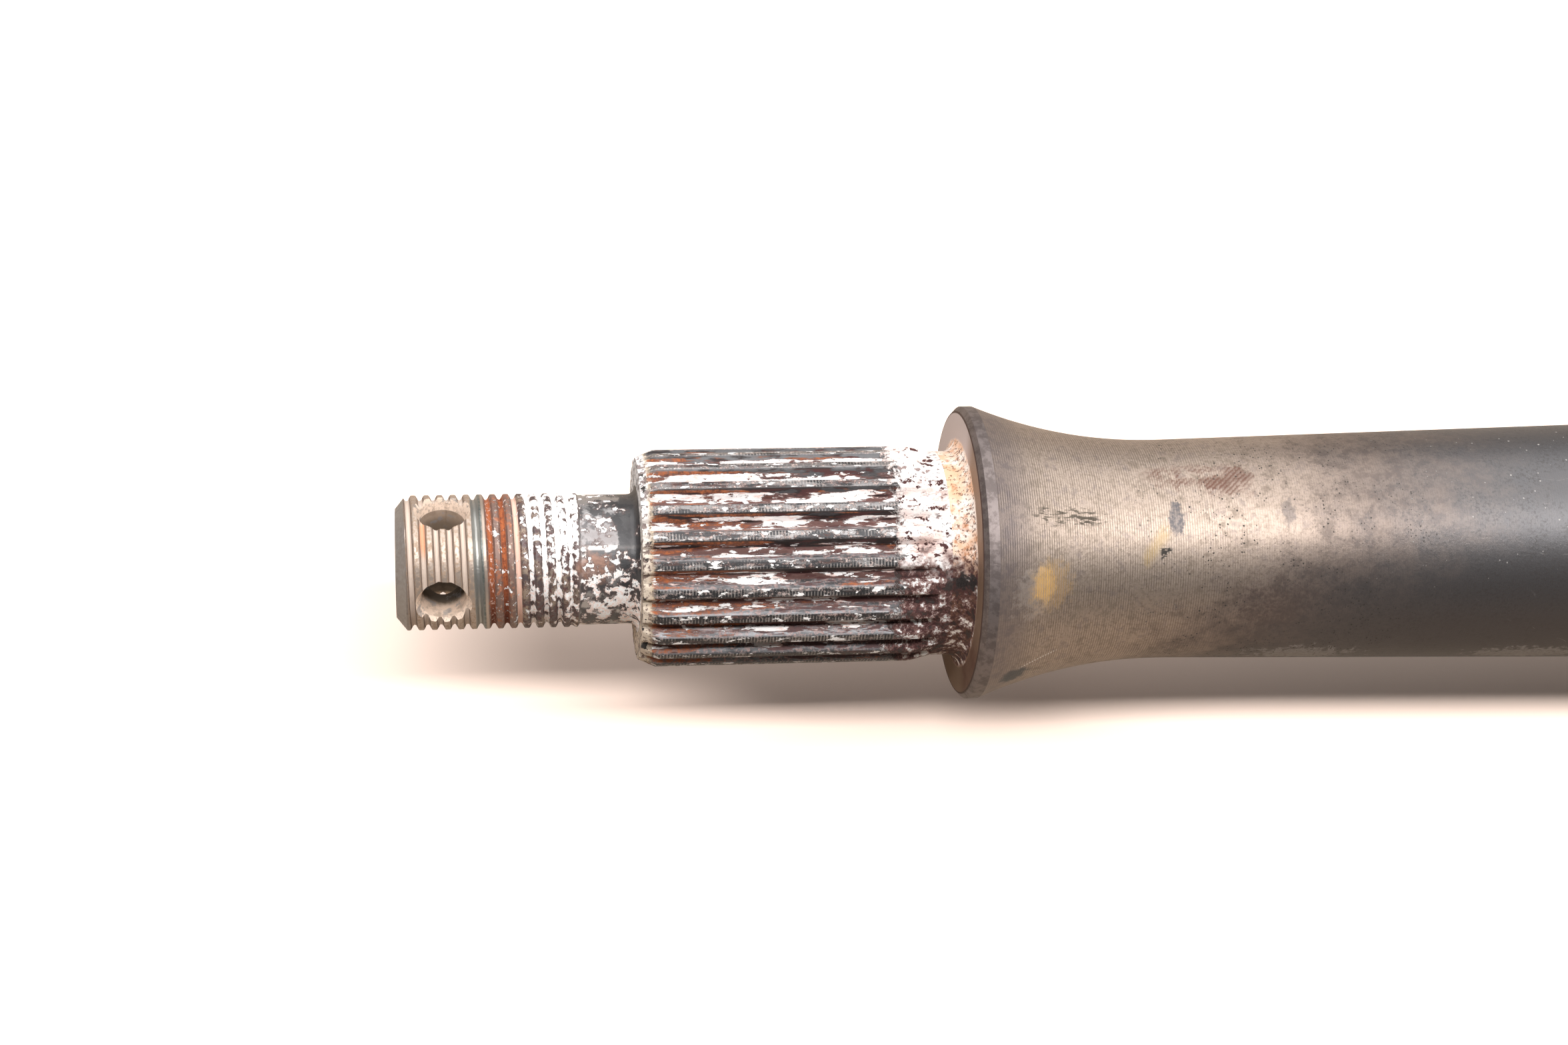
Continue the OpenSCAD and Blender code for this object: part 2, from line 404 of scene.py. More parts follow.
@dataclass(frozen=True)
class NutEnd:
    """Threaded end for the hub's nut, with its end bevel and the plain neck behind it."""

    crest_r: float = 7.7
    thread_depth: float = 0.62
    thread_l: float = 20.5
    bevel_l: float = 1.2
    bevel_h: float = 1.5
    neck_r: float = 7.45
    neck_end: float = 27.4
    fillet: float = 1.0
    run_out: float = 1.3
    phase: float = 0.464
    rows: int = 14
    columns: int = 112

    def bands(self, side: Side, strip: Strip) -> list[Band]:
        """Makes the thread as one grid of stations and angles, and the neck as a turned band.

        Args:
            side: End of the axle.
            strip: Stretch of the bake map.

        Returns:
            The bands, from the end face inwards.
        """
        neck_at = self.thread_l + self.crest_r - self.neck_r
        thread = Thread(self.crest_r, self.thread_depth, self.phase)
        rows = np.linspace(0.0, self.thread_l, int(self.rows * self.thread_l / thread.pitch))
        rows = np.unique(np.concatenate([rows, [self.bevel_l, neck_at]]))
        around = SEAM + 360.0 * np.arange(self.columns) / self.columns
        along = np.repeat(side.along(rows)[:, None], self.columns, axis=1)
        bevel = self.crest_r - self.bevel_h * np.clip(1.0 - rows / self.bevel_l, 0.0, 1.0)
        fade = eased((self.thread_l - rows) / self.run_out)[:, None]
        cut = self.crest_r - (self.crest_r - thread.radius(along, around[None, :])) * fade
        end = np.maximum(self.neck_r, self.crest_r - np.clip(rows - self.thread_l, 0.0, None))
        radius = np.minimum(np.minimum(cut, bevel[:, None]), end[:, None])
        threaded = Band(along, around, radius, Finish.NUT_END, strip)
        corner = arc((self.neck_end - self.fillet, self.neck_r + self.fillet), self.fillet, 270.0, 360.0, 6)
        stations = np.linspace(neck_at + 0.2, self.neck_end - self.fillet - 0.1, 7)
        plain = np.stack([stations, np.full(len(stations), self.neck_r)], axis=1)
        neck = np.concatenate([plain, corner])
        neck[:, 0] = side.along(neck[:, 0])
        return [threaded, turned_band(neck, self.columns, Finish.NUT_END, strip)]


@dataclass(frozen=True)
class HubSpline:
    """Splined seat of the wheel hub: lead-in bevel, sloping lands, and spaces that ramp up to the seat."""

    form: ToothForm = ToothForm(24, 1.0, 1.3, 2.3)
    start: float = 27.4
    lead_in_l: float = 2.0
    lead_in_h: float = 0.9
    slope_at: float = 58.8
    seat_at: float = 61.45
    seat_r: float = 11.85
    ramp: Span = (59.25, 61.15)
    ramp_r: float = 11.1
    seat_end: float = 62.3

    def bands(self, side: Side, strip: Strip) -> list[Band]:
        """Makes the teeth: each ring is cut to the lead-in and the slope, and filled up to the ramp.

        Args:
            side: End of the axle.
            strip: Stretch of the bake map.

        Returns:
            One band, from the face of the spline to the seat.
        """
        lead_in_end = self.start + self.lead_in_l
        rows = np.concatenate(
            [
                np.linspace(self.start, lead_in_end, 6),
                np.linspace(lead_in_end, self.slope_at, 10)[1:],
                np.linspace(self.slope_at, self.seat_at, 10)[1:],
                [self.seat_end],
            ]
        )
        tip = self.form.tip_r
        stops = [self.start, lead_in_end, self.slope_at, self.seat_at, self.seat_end]
        top = np.interp(rows, stops, [tip - self.lead_in_h, tip, tip, self.seat_r, self.seat_r])
        floor = np.interp(rows, [*self.ramp, self.seat_end], [self.ramp_r, self.seat_r, self.seat_r])
        return [self.form.band(side.along(rows), top, floor, Finish.SPLINE, strip)]


@dataclass(frozen=True)
class HubFlange:
    """Thrust flange: hollow corner, ring face, bevelled rim and the hollow flare behind it."""

    seat_r: float = 11.85
    seat_at: float = 62.5
    face_at: float = 64.9
    fillet: float = 1.5
    rim_r: float = 17.05
    bevel: float = 0.6
    rim_end: float = 66.7
    flare_r: float = 55.0
    neck_at: float = 87.83
    neck_r: float = 12.83
    taper_at: float = 88.99
    columns: int = 120

    def bands(self, side: Side, strip: Strip) -> list[Band]:
        """Makes the corner, face and rim as one turned band, and the flare as another.

        Args:
            side: End of the axle.
            strip: Stretch of the bake map.

        Returns:
            The bands, from the seat inwards.
        """
        hollow = self.seat_r + self.fillet
        corner = arc((self.face_at - self.fillet, hollow), self.fillet, 270.0, 360.0, 8)
        rim = [
            (self.face_at, hollow + 0.15),
            (self.face_at, 15.0),
            (self.face_at, self.rim_r - self.bevel - 0.08),
            (self.face_at + 0.02, self.rim_r - self.bevel),
            (self.face_at + self.bevel, self.rim_r),
            (self.face_at + self.bevel + 0.08, self.rim_r),
            (self.rim_end - 0.12, self.rim_r),
            (self.rim_end, self.rim_r),
        ]
        face = np.concatenate([[(self.seat_at, self.seat_r)], corner, rim])
        bend = np.linspace(self.rim_end + 0.8, self.taper_at, 26)
        rows = np.concatenate([[self.rim_end, self.rim_end + 0.15], bend])
        sink = np.sqrt(self.flare_r**2 - (rows - self.neck_at) ** 2)
        flare = np.stack([rows, self.neck_r + self.flare_r - sink], axis=1)
        face[:, 0], flare[:, 0] = side.along(face[:, 0]), side.along(flare[:, 0])
        return [
            turned_band(face, self.columns, Finish.FLANGE, strip),
            turned_band(flare, self.columns, Finish.SHANK, strip),
        ]


@dataclass(frozen=True)
class Shank:
    """Tapered shank between the flare and the full diameter."""

    start: float = 89.5
    start_r: float = 12.8527
    seen_end: float = 150.0
    end: float = 285.85
    end_r: float = 17.0
    columns: int = 96

    def bands(self, side: Side, strip: Strip) -> list[Band]:
        """Makes the taper: the radius grows evenly with the station.

        Args:
            side: End of the axle.
            strip: Stretch of the bake map for the outer part.

        Returns:
            The outer and the inner band, from the flare inwards.
        """
        outer = (self.start, self.seen_end, 12, strip)
        inner = (self.seen_end + 1.0, self.end, 16, Strip.MIDDLE)
        made: list[Band] = []
        for first, last, steps, where in (outer, inner):
            rows = np.linspace(first, last, steps)
            radii = np.interp(rows, [self.start, self.end], [self.start_r, self.end_r])
            profile = np.stack([side.along(rows), radii], axis=1)
            made.append(turned_band(profile, self.columns, Finish.SHANK, where))
        return made


@dataclass(frozen=True)
class Middle:
    """Middle of the axle: shoulder, sprocket spline, bearing seats, brake spline and lock-nut thread."""

    shank_end: float = 164.15
    shank_r: float = 17.0
    shoulder_out: float = 99.0
    shoulder_in: float = 90.0
    shoulder_r: float = 26.0
    shoulder_bevel: float = 1.2
    shoulder_fillet: float = 5.0
    sprocket: ToothForm = ToothForm(34, 1.25, 1.2, 180.0)
    brake: ToothForm = ToothForm(30, 1.25, 1.2, 180.0)
    spline_bevel: float = 1.0
    sprocket_span: Span = (-87.0, -55.0)
    brake_span: Span = (58.0, 90.0)
    journal_r: float = 20.0
    journal_in: float = 35.0
    journal_out: float = 55.0
    journal_bevel: float = 0.8
    waist_r: float = 19.25
    lock_r: float = 17.9
    lock_depth: float = 0.8
    lock_end: float = 116.0
    lock_rows: int = 124
    lock_columns: int = 80
    edge: float = 0.1
    columns: int = 120

    def shoulder(self) -> Band:
        """Makes the shank's end, its hollow corner, the shoulder and the relief beside the spline."""
        f, b, e = self.shoulder_fillet, self.shoulder_bevel, self.edge
        out, inside, r = -self.shoulder_out, -self.shoulder_in, self.shoulder_r
        corner = arc((out - f, self.shank_r + f), f, 270.0, 360.0, 10)
        root = self.sprocket.root_r
        tail = [
            (out, self.shank_r + f + 0.2),
            (out, r - b - e),
            (out, r - b),
            (out + b, r),
            (out + b + e, r),
            (inside - b - e, r),
            (inside - b, r),
            (inside, r - b),
            (inside, r - b - e),
            (inside, root + e),
            (inside, root),
            (inside + e, root),
            (self.sprocket_span[0] - e, root),
        ]
        lead = [
            (-self.shank_end, self.shank_r),
            (out - f - 30.0, self.shank_r),
            (out - f - 0.5, self.shank_r),
        ]
        return turned_band(np.concatenate([lead, corner, tail]), self.columns, Finish.MIDDLE, Strip.MIDDLE)

    def spline(self, form: ToothForm, span: Span) -> Band:
        """Makes a drive spline, its teeth bevelled at both ends."""
        start, end = span
        b = self.spline_bevel
        rows = np.concatenate(
            [
                np.linspace(start, start + b, 4),
                np.linspace(start + 4.0, end - 4.0, 4),
                np.linspace(end - b, end, 4),
            ]
        )
        tip = form.tip_r
        top = np.interp(rows, [start, start + b, end - b, end], [tip - b, tip, tip, tip - b])
        return form.band(rows, top, np.full(len(rows), form.root_r), Finish.MIDDLE, Strip.MIDDLE)

    def bearing_seats(self) -> Band:
        """Makes the two bearing seats with the waist between them, and the relief beside the brake spline."""
        r, b, e = self.journal_r, self.journal_bevel, self.edge
        near, far = self.journal_in, self.journal_out
        root = self.brake.root_r
        profile = [
            (-far, r - e),
            (-far, r),
            (-far + e, r),
            (-near - b - e, r),
            (-near - b, r),
            (-near, self.waist_r),
            (-near + e, self.waist_r),
            (0.0, self.waist_r),
            (near - e, self.waist_r),
            (near, self.waist_r),
            (near, r),
            (near + e, r),
            (far - b - e, r),
            (far - b, r),
            (far, r - b),
            (far, root + e),
            (far, root),
            (far + e, root),
            (self.brake_span[0] - e, root),
        ]
        return turned_band(np.array(profile), self.columns, Finish.MIDDLE, Strip.MIDDLE)

    def lock_thread(self) -> list[Band]:
        """Makes the lock-nut thread, which fades out at both ends, and the shank's start behind it."""
        start = self.brake_span[1]
        bevel = self.lock_r - self.shank_r
        thread = Thread(self.lock_r, self.lock_depth, 0.0)
        rows = np.unique(np.append(np.linspace(start, self.lock_end, self.lock_rows), self.lock_end - bevel))
        around = SEAM + 360.0 * np.arange(self.lock_columns) / self.lock_columns
        along = np.repeat(rows[:, None], self.lock_columns, axis=1)
        fade = eased((rows - start) / 2.0)[:, None]
        cut = self.lock_r - (self.lock_r - thread.radius(along, around[None, :])) * fade
        end = np.maximum(self.shank_r, np.minimum(self.lock_r, self.shank_r + self.lock_end - rows))
        thread_band = Band(along, around, np.minimum(cut, end[:, None]), Finish.MIDDLE, Strip.MIDDLE)
        tail = [
            (self.lock_end + 0.3, self.shank_r),
            (self.lock_end + 6.0, self.shank_r),
            (self.shank_end, self.shank_r),
        ]
        return [thread_band, turned_band(np.array(tail), self.lock_columns, Finish.MIDDLE, Strip.MIDDLE)]

    def bands(self) -> list[Band]:
        """Gives the bands of the middle in order from left to right."""
        sprocket = self.spline(self.sprocket, self.sprocket_span)
        brake = self.spline(self.brake, self.brake_span)
        return [self.shoulder(), sprocket, self.bearing_seats(), brake, *self.lock_thread()]


@dataclass(frozen=True)
class CotterHoles:
    """Two cross holes near each end, with sunk mouths."""

    r: float = 2.6
    from_end: float = 5.3
    mouth_at: float = 6.65
    reach: float = 9.4
    sink: float = 30.0
    turns: Span = (-23.0, 67.0)
    inner: float = 2.0
    columns: int = 56

    def cutter(self, side: Side, turn: float, materials: list[bpy.types.Material]) -> bpy.types.Object:
        """Makes the round bar that cuts one hole, wider beyond the mouths, along the hole's direction.

        Args:
            side: End of the axle.
            turn: Angle of the hole's axis.
            materials: Material slots of the skin, which the cut faces keep.

        Returns:
            The cutter, which isn't part of the finished axle.
        """
        wide = self.r + (self.reach - self.mouth_at) * math.tan(math.radians(self.sink))
        profile = [
            (-self.reach, wide),
            (-self.mouth_at, self.r),
            (-self.inner, self.r),
            (self.inner, self.r),
            (self.mouth_at, self.r),
            (self.reach, wide),
        ]
        skin = Skin()
        skin.lay(turned_band(np.array(profile), self.columns, Finish.BORE, Strip.BORES))
        made = skin.mesh("cotter_cutter")
        angle = math.radians(turn)
        axis = Vector((0.0, -math.sin(angle), math.cos(angle)))
        across = Vector((1.0, 0.0, 0.0))
        frame = Matrix((axis, across, axis.cross(across))).transposed().to_4x4()
        frame.translation = Vector((float(side.along(self.from_end)) * MM, 0.0, 0.0))
        made.transform(frame)
        for material in materials:
            made.materials.append(material)
        cutter = bpy.data.objects.new("cotter_cutter", made)
        bpy.context.scene.collection.objects.link(cutter)
        return cutter

    def cut(self, axle: bpy.types.Object) -> None:
        """Cuts all holes through the axle's mesh and removes the cutters."""
        materials = list(axle.data.materials)
        cutters = [self.cutter(side, turn, materials) for side in Side for turn in self.turns]
        for cutter in cutters:
            step = axle.modifiers.new("cotter_hole", "BOOLEAN")
            step.operation = "DIFFERENCE"
            step.solver = "EXACT"
            step.object = cutter
        shown = axle.evaluated_get(bpy.context.evaluated_depsgraph_get())
        cut = bpy.data.meshes.new_from_object(shown)
        axle.modifiers.clear()
        axle.data = cut
        for cutter in cutters:
            bpy.data.objects.remove(cutter)


def tone(red: int, green: int, blue: int) -> Colour:
    """Linear colour of a screen tone with parts from 0 to 255."""
    parts = np.array([red, green, blue]) / 255.0
    linear = np.where(parts <= 0.04045, parts / 12.92, ((parts + 0.055) / 1.055) ** 2.4)
    return (*(float(part) for part in linear), 1.0)


class Field:
    """Value at every point of a surface. Sums of fields lay the nodes that work them out."""

    def __init__(self, graph: "Graph", socket: bpy.types.NodeSocket) -> None:
        """Keeps the graph that the field belongs to and the socket that puts it out."""
        self.graph = graph
        self.socket = socket

    def __add__(self, other: Value) -> "Field":
        """Sum of two fields."""
        return self.graph.math("ADD", self, other)

    def __sub__(self, other: Value) -> "Field":
        """Difference of two fields."""
        return self.graph.math("SUBTRACT", self, other)

    def __rsub__(self, other: float) -> "Field":
        """A number less the field."""
        return self.graph.math("SUBTRACT", other, self)

    def __mul__(self, other: Value) -> "Field":
        """Product of two fields."""
        return self.graph.math("MULTIPLY", self, other)

    def __truediv__(self, other: Value) -> "Field":
        """Quotient of two fields."""
        return self.graph.math("DIVIDE", self, other)

    def __rtruediv__(self, other: float) -> "Field":
        """A number over the field."""
        return self.graph.math("DIVIDE", other, self)

    def __abs__(self) -> "Field":
        """The field without its sign."""
        return self.graph.math("ABSOLUTE", self)

    def most(self, other: Value) -> "Field":
        """The greater of two fields."""
        return self.graph.math("MAXIMUM", self, other)

    def below(self, level: Value) -> "Field":
        """Is 1 under a level, and otherwise 0."""
        return self.graph.math("LESS_THAN", self, level)

    def step(self, low: Value, high: Value) -> "Field":
        """Rises smoothly from 0 at low to 1 at high, and stays there."""
        inputs = {0: self, 1: low, 2: high}
        return self.graph.node("ShaderNodeMapRange", inputs, interpolation_type="SMOOTHSTEP", clamp=True)

    def fall(self, low: Value, high: Value) -> "Field":
        """Falls smoothly from 1 at low to 0 at high."""
        return 1.0 - self.step(low, high)

    def window(self, low: float, high: float, soft: float) -> "Field":
        """Is 1 between low and high, with soft edges."""
        return self.step(low - soft, low + soft) * self.fall(high - soft, high + soft)

    def scaled(self, low: float, high: float, to_low: float, to_high: float) -> "Field":
        """Carries a range of values over to another range, and stops at its ends."""
        inputs = {0: self, 1: low, 2: high, 3: to_low, 4: to_high}
        return self.graph.node("ShaderNodeMapRange", inputs, clamp=True)


class Graph:
    """Short way to lay nodes in a shader tree."""

    def __init__(self, tree: bpy.types.NodeTree) -> None:
        """Keeps the tree that the nodes go into."""
        self.tree = tree

    def add(self, kind: str, **settings: Setting) -> bpy.types.Node:
        """Adds a node and sets its own settings."""
        node = self.tree.nodes.new(kind)
        for name, value in settings.items():
            setattr(node, name, value)
        return node

    def feed(self, node: bpy.types.Node, inputs: dict[str | int, Value]) -> None:
        """Links a node's inputs to fields, or sets them to constants."""
        for name, value in inputs.items():
            if isinstance(value, Field):
                self.tree.links.new(value.socket, node.inputs[name])
            else:
                node.inputs[name].default_value = value

    def node(
        self, kind: str, inputs: dict[str | int, Value], out: str | int = 0, **settings: Setting
    ) -> Field:
        """Adds a node with one output that matters.

        Args:
            kind: Blender's name for the kind of node.
            inputs: Value of each input by its name or number.
            out: Name or number of the output.
            settings: The node's own settings.

        Returns:
            The output.
        """
        node = self.add(kind, **settings)
        self.feed(node, inputs)
        return Field(self, node.outputs[out])

    def fields(self, node: bpy.types.Node) -> dict[str, Field]:
        """All outputs of a node by name."""
        return {socket.name: Field(self, socket) for socket in node.outputs}

    def math(self, kind: str, *values: Value) -> Field:
        """Works out one sum of one or two values."""
        return self.node("ShaderNodeMath", dict(enumerate(values)), operation=kind)

    def mix(self, share: Value, first: Value, second: Value) -> Field:
        """Mixes two colours."""
        inputs = {0: share, 6: first, 7: second}
        return self.node("ShaderNodeMix", inputs, 2, data_type="RGBA", clamp_factor=True)

    def blend(self, share: Value, first: Value, second: Value) -> Field:
        """Mixes two numbers."""
        inputs = {0: share, 2: first, 3: second}
        return self.node("ShaderNodeMix", inputs, data_type="FLOAT", clamp_factor=True)

    def noise(self, place: Field, scale: float, detail: float, rough: float) -> Field:
        """Soft cloudy noise in space."""
        inputs = {"Vector": place, "Scale": scale, "Detail": detail, "Roughness": rough}
        return self.node("ShaderNodeTexNoise", inputs, "Fac")

    def stretched(self, place: Field, across: tuple[float, float, float]) -> Field:
        """Scales a place differently along each axis."""
        return self.node("ShaderNodeVectorMath", {0: place, 1: across}, operation="MULTIPLY")

    def counted(self, place: Field, size: Field) -> Field:
        """Counts a place in steps of a size."""
        return self.node("ShaderNodeVectorMath", {0: place, "Scale": 1.0 / size}, operation="SCALE")

    def group(self, tree: bpy.types.NodeTree, inputs: dict[str, Value]) -> dict[str, Field]:
        """Places a node group, feeds its inputs by name and gives its outputs by name."""
        node = self.add("ShaderNodeGroup", node_tree=tree)
        self.feed(node, inputs)
        return self.fields(node)


class Effects:
    """Node groups that several finishes share, each built once."""

    def __init__(self) -> None:
        """Builds all the groups."""
        self.place = self.build_place()
        self.crust = self.build_crust()
        self.stain = self.build_stain()
        self.lathe = self.build_lathe()
        self.pits = self.build_pits()

    def open_group(
        self, name: str, inputs: str, outputs: str
    ) -> tuple[Graph, dict[str, Field], bpy.types.Node]:
        """Starts a node group. A socket named Point is a place, and every other one is a number.

        Args:
            name: Name of the group.
            inputs: Names of the input sockets, with spaces between.
            outputs: Names of the output sockets, likewise.

        Returns:
            The graph of the new tree, its inputs by name and its output node.
        """
        tree = bpy.data.node_groups.new(name, "ShaderNodeTree")
        for way, sockets in (("INPUT", inputs), ("OUTPUT", outputs)):
            for socket in sockets.split():
                kind = "NodeSocketVector" if socket == "Point" else "NodeSocketFloat"
                tree.interface.new_socket(socket, in_out=way, socket_type=kind)
        graph = Graph(tree)
        return graph, graph.fields(graph.add("NodeGroupInput")), graph.add("NodeGroupOutput")

    def build_place(self) -> bpy.types.NodeTree:
        """Group for where a point is: its station, half, radius and angle, and the point in mm."""
        g, _, out = self.open_group("Axle place", "", "Along Left Radius Around Point")
        point = g.stretched(g.node("ShaderNodeTexCoord", {}, "Object"), (1.0 / MM, 1.0 / MM, 1.0 / MM))
        apart = g.add("ShaderNodeSeparateXYZ")
        g.feed(apart, {0: point})
        x, y, z = g.fields(apart).values()
        where = {
            "Along": HALF_L - abs(x),
            "Left": x.below(0.0),
            "Radius": g.math("SQRT", y * y + z * z),
            "Around": g.math("DEGREES", g.math("ARCTAN2", y * -1.0, z)),
            "Point": point,
        }
        g.feed(out, where)
        return g.tree

    def build_crust(self) -> bpy.types.NodeTree:
        """Group for flaky crust: noise over a level that falls as the cover grows, with a thin rim."""
        g, given, out = self.open_group("Crust", "Point Cover Size", "Mask Rim Grain")
        place = g.counted(given["Point"], given["Size"])
        cloud = g.noise(place, 1.0, 5.0, 0.62)
        level = given["Cover"].scaled(0.0, 1.0, 0.78, 0.24)
        mask = cloud.step(level - 0.012, level + 0.012)
        wide = cloud.step(level - 0.075, level - 0.02)
        grain = g.noise(place, 4.0, 4.0, 0.6)
        g.feed(out, {"Mask": mask, "Rim": wide * (1.0 - mask), "Grain": grain})
        return g.tree

    def build_stain(self) -> bpy.types.NodeTree:
        """Group for one stain at a place: an oval on the surface whose edge is frayed by noise."""
        g, given, out = self.open_group("Stain", "Point Along Around At Turn Length Spread Fray", "Mask")
        along = (given["Along"] - given["At"]) / given["Length"]
        around = (given["Around"] - given["Turn"]) / given["Spread"]
        far = g.math("SQRT", along * along + around * around)
        cloud = g.noise(given["Point"], 1.1, 5.0, 0.65) - 0.5
        g.feed(out, {"Mask": (cloud * given["Fray"] + far).fall(0.55, 1.05)})
        return g.tree

    def build_lathe(self) -> bpy.types.NodeTree:
        """Group for turning marks: fine rings at a pitch, uneven and worn away in places."""
        g, given, out = self.open_group("Turning marks", "Point Along Pitch", "Mark")
        turns = given["Along"] / given["Pitch"]
        wave = g.math("SINE", turns * math.tau) * 0.5 + 0.5
        rings = {"W": turns, "Scale": 0.63, "Detail": 3.0}
        uneven = g.node("ShaderNodeTexNoise", rings, "Fac", noise_dimensions="1D")
        worn = g.noise(given["Point"], 0.35, 3.0, 0.6).step(0.3, 0.6)
        both = g.blend(0.25, wave, uneven.scaled(0.3, 0.7, 0.0, 1.0))
        g.feed(out, {"Mark": g.blend(worn, 0.5, both)})
        return g.tree

    def build_pits(self) -> bpy.types.NodeTree:
        """Group for pits and specks: small frayed spots about scattered points, at a share of them."""
        g, given, out = self.open_group("Pits", "Point Spacing Share", "Mask")
        place = g.counted(given["Point"], given["Spacing"])
        cells = g.add("ShaderNodeTexVoronoi")
        g.feed(cells, {"Vector": place, "Scale": 1.0})
        cell = g.fields(cells)
        apart = g.add("ShaderNodeSeparateColor")
        g.feed(apart, {0: cell["Color"]})
        chance = g.fields(apart)
        size = chance["Green"].scaled(0.0, 1.0, 0.1, 0.4)
        fray = g.noise(place, 3.5, 3.0, 0.6) * 0.35 - 0.17
        spot = (cell["Distance"] + fray).below(size)
        g.feed(out, {"Mask": spot * chance["Red"].below(given["Share"])})
        return g.tree


@dataclass(frozen=True)
class Coat:
    """One coat of a finish: its colour, its roughness and how much of it is bare metal."""

    colour: Colour
    rough: float
    metal: float = 0.0


class SteelFinish:
    """Steel under coats that are laid one over another by masks, with their thickness as bumps.

    Each kind names its material and its coats, and says in lay_coats where they lie.
    """

    name: str
    base: Coat

    def __init__(self, effects: Effects) -> None:
        """Starts the material with its lowest coat and finds where its points are."""
        self.material = bpy.data.materials.new(self.name)
        self.material.use_nodes = True
        self.material.node_tree.nodes.clear()
        self.graph = Graph(self.material.node_tree)
        self.effects = effects
        place = self.graph.group(effects.place, {})
        self.along, self.left, self.radius = place["Along"], place["Left"], place["Radius"]
        self.around, self.point = place["Around"], place["Point"]
        self.colour: Value = self.base.colour
        self.rough: Value = self.base.rough
        self.metal: Value = self.base.metal
        self.height: Value = 0.0

    def lay_coats(self) -> None:
        """Lays all coats of the finish."""
        raise NotImplementedError

    def lay(self, mask: Field, coat: Coat, height: float = 0.0) -> None:
        """Lays a coat where the mask is 1, standing a height in mm over what is under it."""
        self.colour = self.graph.mix(mask, self.colour, coat.colour)
        self.rough = self.graph.blend(mask, self.rough, coat.rough)
        self.metal = self.graph.blend(mask, self.metal, coat.metal)
        if height:
            self.raise_by(mask, height)

    def shade(self, mask: Field, colour: Colour) -> None:
        """Changes only the colour where the mask is 1."""
        self.colour = self.graph.mix(mask, self.colour, colour)

    def raise_by(self, mask: Field, height: float) -> None:
        """Changes only the height, in mm."""
        self.height = mask * height + self.height

    def noise(self, scale: float, detail: float, rough: float) -> Field:
        """Soft cloudy noise over the axle, by its scale in clouds to a mm."""
        return self.graph.noise(self.point, scale, detail, rough)

    def streak(self, length: float, width: float) -> Field:
        """Noise drawn out along the axle, by the length and width of its streaks in mm."""
        place = self.graph.stretched(self.point, (width / length, 1.0, 1.0))
        return self.graph.noise(place, 1.0 / width, 4.0, 0.6)

    def crust(self, cover: Field, size: float, drawn: float = 1.0) -> dict[str, Field]:
        """Mask, rim and grain of flaky crust, by the flakes' size in mm and how far they are drawn out."""
        place = self.graph.stretched(self.point, (1.0 / drawn, 1.0, 1.0))
        return self.graph.group(self.effects.crust, {"Point": place, "Cover": cover, "Size": size})

    def flecks(self, cover: Field, size: float, drawn: float = 1.0) -> Field:
        """Mask of crust alone, for flecks and spots."""
        return self.crust(cover, size, drawn)["Mask"]

    def clumps(self, where: Field, hollow: Coat, lump: Coat, top: Coat) -> None:
        """Lays clumped dirt by the height of one noise.

        Args:
            where: Mask of the place.
            hollow: Coat of the hollows.
            lump: Coat of the lumps.
            top: Coat of the highest lumps.
        """
        cloud = self.noise(0.62, 7.0, 0.74)
        self.lay(where * cloud.fall(0.4, 0.47) * 0.85, hollow, -0.05)
        self.lay(where * cloud.step(0.5, 0.54) * 0.85, lump, 0.06)
        self.lay(where * cloud.step(0.545, 0.575), top, 0.06)

    def stain(self, at: float, turn: float, length: float, spread: float, fray: float) -> Field:
        """Mask of a stain on the left end, by station, angle, half length in mm and half spread."""
        given = {"Point": self.point, "Along": self.along, "Around": self.around, "At": at, "Turn": turn}
        given |= {"Length": length, "Spread": spread, "Fray": fray}
        return self.graph.group(self.effects.stain, given)["Mask"] * self.left

    def turning_marks(self, pitch: float) -> Field:
        """Fine rings from the lathe at a pitch in mm."""
        given = {"Point": self.point, "Along": self.along, "Pitch": pitch}
        return self.graph.group(self.effects.lathe, given)["Mark"]

    def pits(self, spacing: float, share: float) -> Field:
        """Mask of pits or specks, by their spacing in mm and the share of places that have one."""
        given = {"Point": self.point, "Spacing": spacing, "Share": share}
        return self.graph.group(self.effects.pits, given)["Mask"]

    def finished(self) -> bpy.types.Material:
        """Lays the coats, joins them to the shader and returns the material."""
        self.lay_coats()
        g = self.graph
        bump = g.node("ShaderNodeBump", {"Distance": MM, "Height": self.height}, "Normal")
        inputs = {"Base Color": self.colour, "Roughness": self.rough, "Metallic": self.metal, "Normal": bump}
        shader = g.node("ShaderNodeBsdfPrincipled", inputs, "BSDF")
        g.feed(g.add("ShaderNodeOutputMaterial"), {"Surface": shader})
        return self.material


